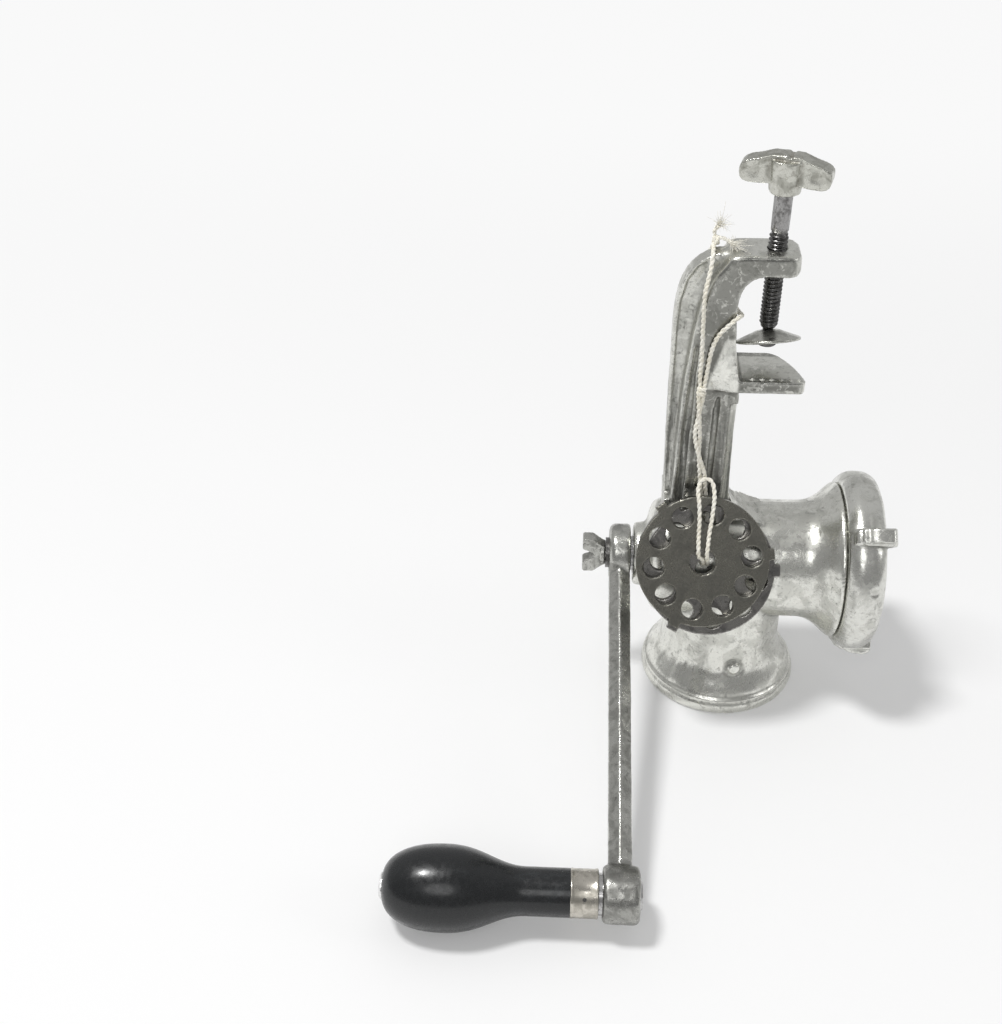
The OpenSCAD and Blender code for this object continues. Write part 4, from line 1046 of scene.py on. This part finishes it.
TIE_ROUTE = [
    [-21, -12, 163], [-21.5, -11.5, 168], [-21.5, -11.5, 178], [-22, -11.5, 190],
    [-22.5, -11.5, 205], [-21.5, -9.5, 211.5], [-20.5, -7, 216.5], [-20, -5, 220.5],
    [-19.5, 0, 221.5], [-19, 5, 221], [-19.5, 7.5, 218], [-20, 10.5, 213.5],
    [-19, 11.5, 208.5], [-15.5, 12, 202], [-12, 12, 194], [-7.5, 11.5, 190],
    [-6.5, 6, 190.5], [-6.5, 0, 192.5], [-6.2, -6, 194.5], [-8, -11, 196],
    [-11.5, -12, 193], [-15, -11.5, 188.5], [-17.5, -11.5, 182], [-18.5, -11.5, 174],
    [-19, -11.5, 168], [-19.5, -12, 163]]
PLATE_ROUTE = [
    [-21.5, -12.5, 159.5], [-20.5, -13.5, 150], [-19.5, -12.5, 140], [-19, -11.5, 130],
    [-18, -11.5, 121], [-17, -12, 113], [-16, -12, 104], [-16, -15.5, 97], [-15.5, -20, 88],
    [-15, -24, 81.5], [-14.5, -27, 82], [-15, -29.5, 86], [-17, -31.5, 89.5],
    [-17.5, -31, 93], [-17.5, -27.5, 98.5], [-17.5, -24, 105.5], [-18, -21, 111.5],
    [-18.5, -18, 115], [-17.5, -15.5, 118], [-15, -14.5, 119], [-12.5, -15.5, 118],
    [-11.5, -18, 115], [-11.5, -21, 111.5], [-12, -24, 105.5], [-13, -27.5, 98.5],
    [-13.5, -31, 93], [-13.5, -31.5, 89.5], [-13, -29.5, 86], [-12.5, -27, 82],
    [-12.5, -24, 81.5], [-13, -20, 88], [-13, -15.5, 97], [-13.5, -12, 104],
    [-15, -12, 113], [-16, -13, 121], [-19, -13.5, 130], [-21.5, -12.5, 140],
    [-20.5, -11.5, 150], [-19.5, -12.5, 159.5]]
TIE_TOP = (-18.5, 3.2, 223.2)
JOIN = (-20.4, -12.6, 162.0)


def twisted(line, radius, lay, seed):
    """Two plies wound round a line, one turn in each lay, with their own fine strands."""
    _, u, v = side_vectors(line)
    along = np.concatenate([[0], np.cumsum(np.linalg.norm(np.diff(line, axis=0), axis=1))])
    offset, ply = 0.42 * radius, 0.68 * radius
    sides = 12
    angle = np.linspace(0, 2 * math.pi, sides, endpoint=False)
    parts = []
    for k in range(2):
        turn = 2 * math.pi * along / lay + math.pi * k + 0.35 * np.sin(along / 3.1 + seed)
        centre = line + offset * (np.cos(turn)[:, None] * u + np.sin(turn)[:, None] * v)
        strands = 1 + 0.07 * np.cos(3 * angle[None, :] + 5 * along[:, None] / lay)
        uneven = 1 + 0.05 * lumps(line, 1.3, seed + k)[:, None]
        parts.append(tube(centre, ply * strands * uneven, sides))
    return joined(parts)


def frayed(root, heading, count, length, spread, seed):
    """Loose cotton fibres that leave a string's end."""
    rng = np.random.default_rng(seed)
    parts = []
    heading = heading / np.linalg.norm(heading)
    for _ in range(count):
        drift = rng.normal(0, spread, 3)
        curl = rng.normal(0, spread * 0.8, 3)
        reach = length * rng.uniform(0.5, 1.1)
        start = root + rng.normal(0, 0.3, 3)
        t = np.linspace(0, 1, 7)[:, None]
        line = start + reach * (t * heading + t * t * drift + t**3 * curl)
        parts.append(tube(line, np.linspace(0.16, 0.06, 7), 4))
    return parts


def knot(centre, along, radius, loops, seed):
    """A tight knot: a few turns of string round each other."""
    rng = np.random.default_rng(seed)
    along = np.array(along, float) / np.linalg.norm(along)
    across = np.cross(along, [0.2, 1.0, 0.1])
    across /= np.linalg.norm(across)
    third = np.cross(along, across)
    parts = []
    t = np.linspace(0, 2 * math.pi, 40)
    for k in range(loops):
        shift = (k - (loops - 1) / 2) * 1.15
        lean = rng.uniform(-0.5, 0.5)
        ring = radius * (np.cos(t)[:, None] * across + np.sin(t)[:, None] * third)
        ring = ring + along * (shift + lean * radius * np.cos(t + k))[:, None]
        parts.append(twisted(np.array(centre) + ring, STRING_R * 0.92, 4.6, seed + k))
    return parts


def cotton_piece(name, parts, body, node):
    mesh = mesh_of(name, *parts)
    mesh.shade_smooth()
    return dress(link(name, mesh), "cotton", body, node, slot="cotton")


def make_string():
    tie_line = through(TIE_ROUTE, 0.3)
    tie = cotton_piece("tie_strand", twisted(tie_line, STRING_R, STRING_LAY, 3), "frame",
                       "tie_string")
    parts = knot(TIE_TOP, (1, 0.2, 0.3), 1.25, 2, 5)
    tails = [through([(-18.5, 3.0, 224), (-16.5, 1.0, 225.4), (-14.0, -0.5, 224.8)], 0.3),
             through([(-18.7, 3.6, 224), (-19.4, 4.2, 226.6), (-18.6, 3.6, 228.6)], 0.3)]
    for k, line in enumerate(tails):
        parts.append(twisted(line, STRING_R * 0.85, 4.6, 9 + k))
    for line, count, length, spread, seed in ((tails[0], 70, 6.5, 0.42, 7),
                                              (tails[1], 60, 4.6, 0.50, 8)):
        parts += frayed(line[-1], line[-1] - line[-4], count, length, spread, seed)
    top = cotton_piece("top_knot", joined(parts), "frame", "tie_knot")
    parts = knot(JOIN, (0.1, 0.05, 1), 1.3, 3, 15)
    low = cotton_piece("lower_knot", joined(parts), "frame", "join_knot")
    plate_line = through(PLATE_ROUTE, 0.3)
    hang = cotton_piece("plate_strand", twisted(plate_line, STRING_R, STRING_LAY, 23),
                        "spare_plates", "plate_string")


# ---------- floor and light ----------


def make_floor():
    """A pale floor that keeps shadows and turns plain white towards the back."""
    half = 6.0
    mesh = bpy.data.meshes.new("floor")
    mesh.from_pydata([(-half, -half, 0), (half, -half, 0), (half, half, 0), (-half, half, 0)],
                     [], [(0, 1, 2, 3)])
    floor = link("floor", mesh)
    made = bpy.data.materials.new("pale floor")
    made.use_nodes = True
    made.node_tree.nodes.clear()
    t = Tree(made.node_tree)
    paper = t.node("BsdfDiffuse", Color=grey(0.90))
    glow = t.node("Emission", Color=grey(1.0), Strength=0.955)
    rays = t.node("LightPath")
    seen = t.math("MAXIMUM", rays.outputs["Is Camera Ray"], rays.outputs["Is Glossy Ray"])
    split = t.node("SeparateXYZ", Vector=t.place)
    share = t.math("MULTIPLY", seen, t.span(split.outputs["Y"], 0.05, 0.75, 0.20, 0.95))
    output = t.node("OutputMaterial")
    t.join(t.shaders(share, paper.outputs[0], glow.outputs[0]), output.inputs["Surface"])
    mesh.materials.append(made)


def make_world():
    """Soft light from all round, brighter from behind, and a white background."""
    world = bpy.data.worlds.new("studio")
    scene.world = world
    world.use_nodes = True
    world.node_tree.nodes.clear()
    t = Tree(world.node_tree, "Generated")
    split = t.node("SeparateXYZ", Vector=t.place)
    level = t.math("ADD", t.span(split.outputs["Z"], 0.0, 0.7, 0.36, 0.40),
                   t.span(split.outputs["Y"], -0.4, 0.4, 0.0, 0.26))
    light = t.node("Background", Color=grey(0.8), Strength=level)
    white = t.node("Background", Color=grey(0.98))
    rays = t.node("LightPath")
    output = t.node("OutputWorld")
    t.join(t.shaders(rays.outputs["Is Camera Ray"], light.outputs[0], white.outputs[0]),
           output.inputs["Surface"])


def make_lamp(name, place, target, size, power):
    """A round softbox at place, in metres, that faces target."""
    data = bpy.data.lights.new(name, "AREA")
    data.shape = "DISK"
    data.size = size
    data.energy = power
    lamp = bpy.data.objects.new(name, data)
    scene.collection.objects.link(lamp)
    lamp.location = place
    lamp.rotation_mode = "QUATERNION"
    lamp.rotation_quaternion = (Vector(target) - Vector(place)).to_track_quat("-Z", "Y")


def make_light():
    middle = (0, -0.03, 0.1)
    make_lamp("key softbox", (-0.96, -0.20, 2.60), middle, 0.50, 44.0)
    make_lamp("front softbox", (-0.2, -1.0, 0.9), middle, 0.6, 2.0)
    make_lamp("side softbox", (1.1, -0.3, 0.7), middle, 0.5, 1.2)


make_body()
make_teeth()
make_ring()
make_crank()
make_thumb_screw()
make_grip()
make_ferrule()
make_clamp()
make_plates()
make_string()
make_floor()
make_world()
make_light()

scene.view_settings.view_transform = "Standard"
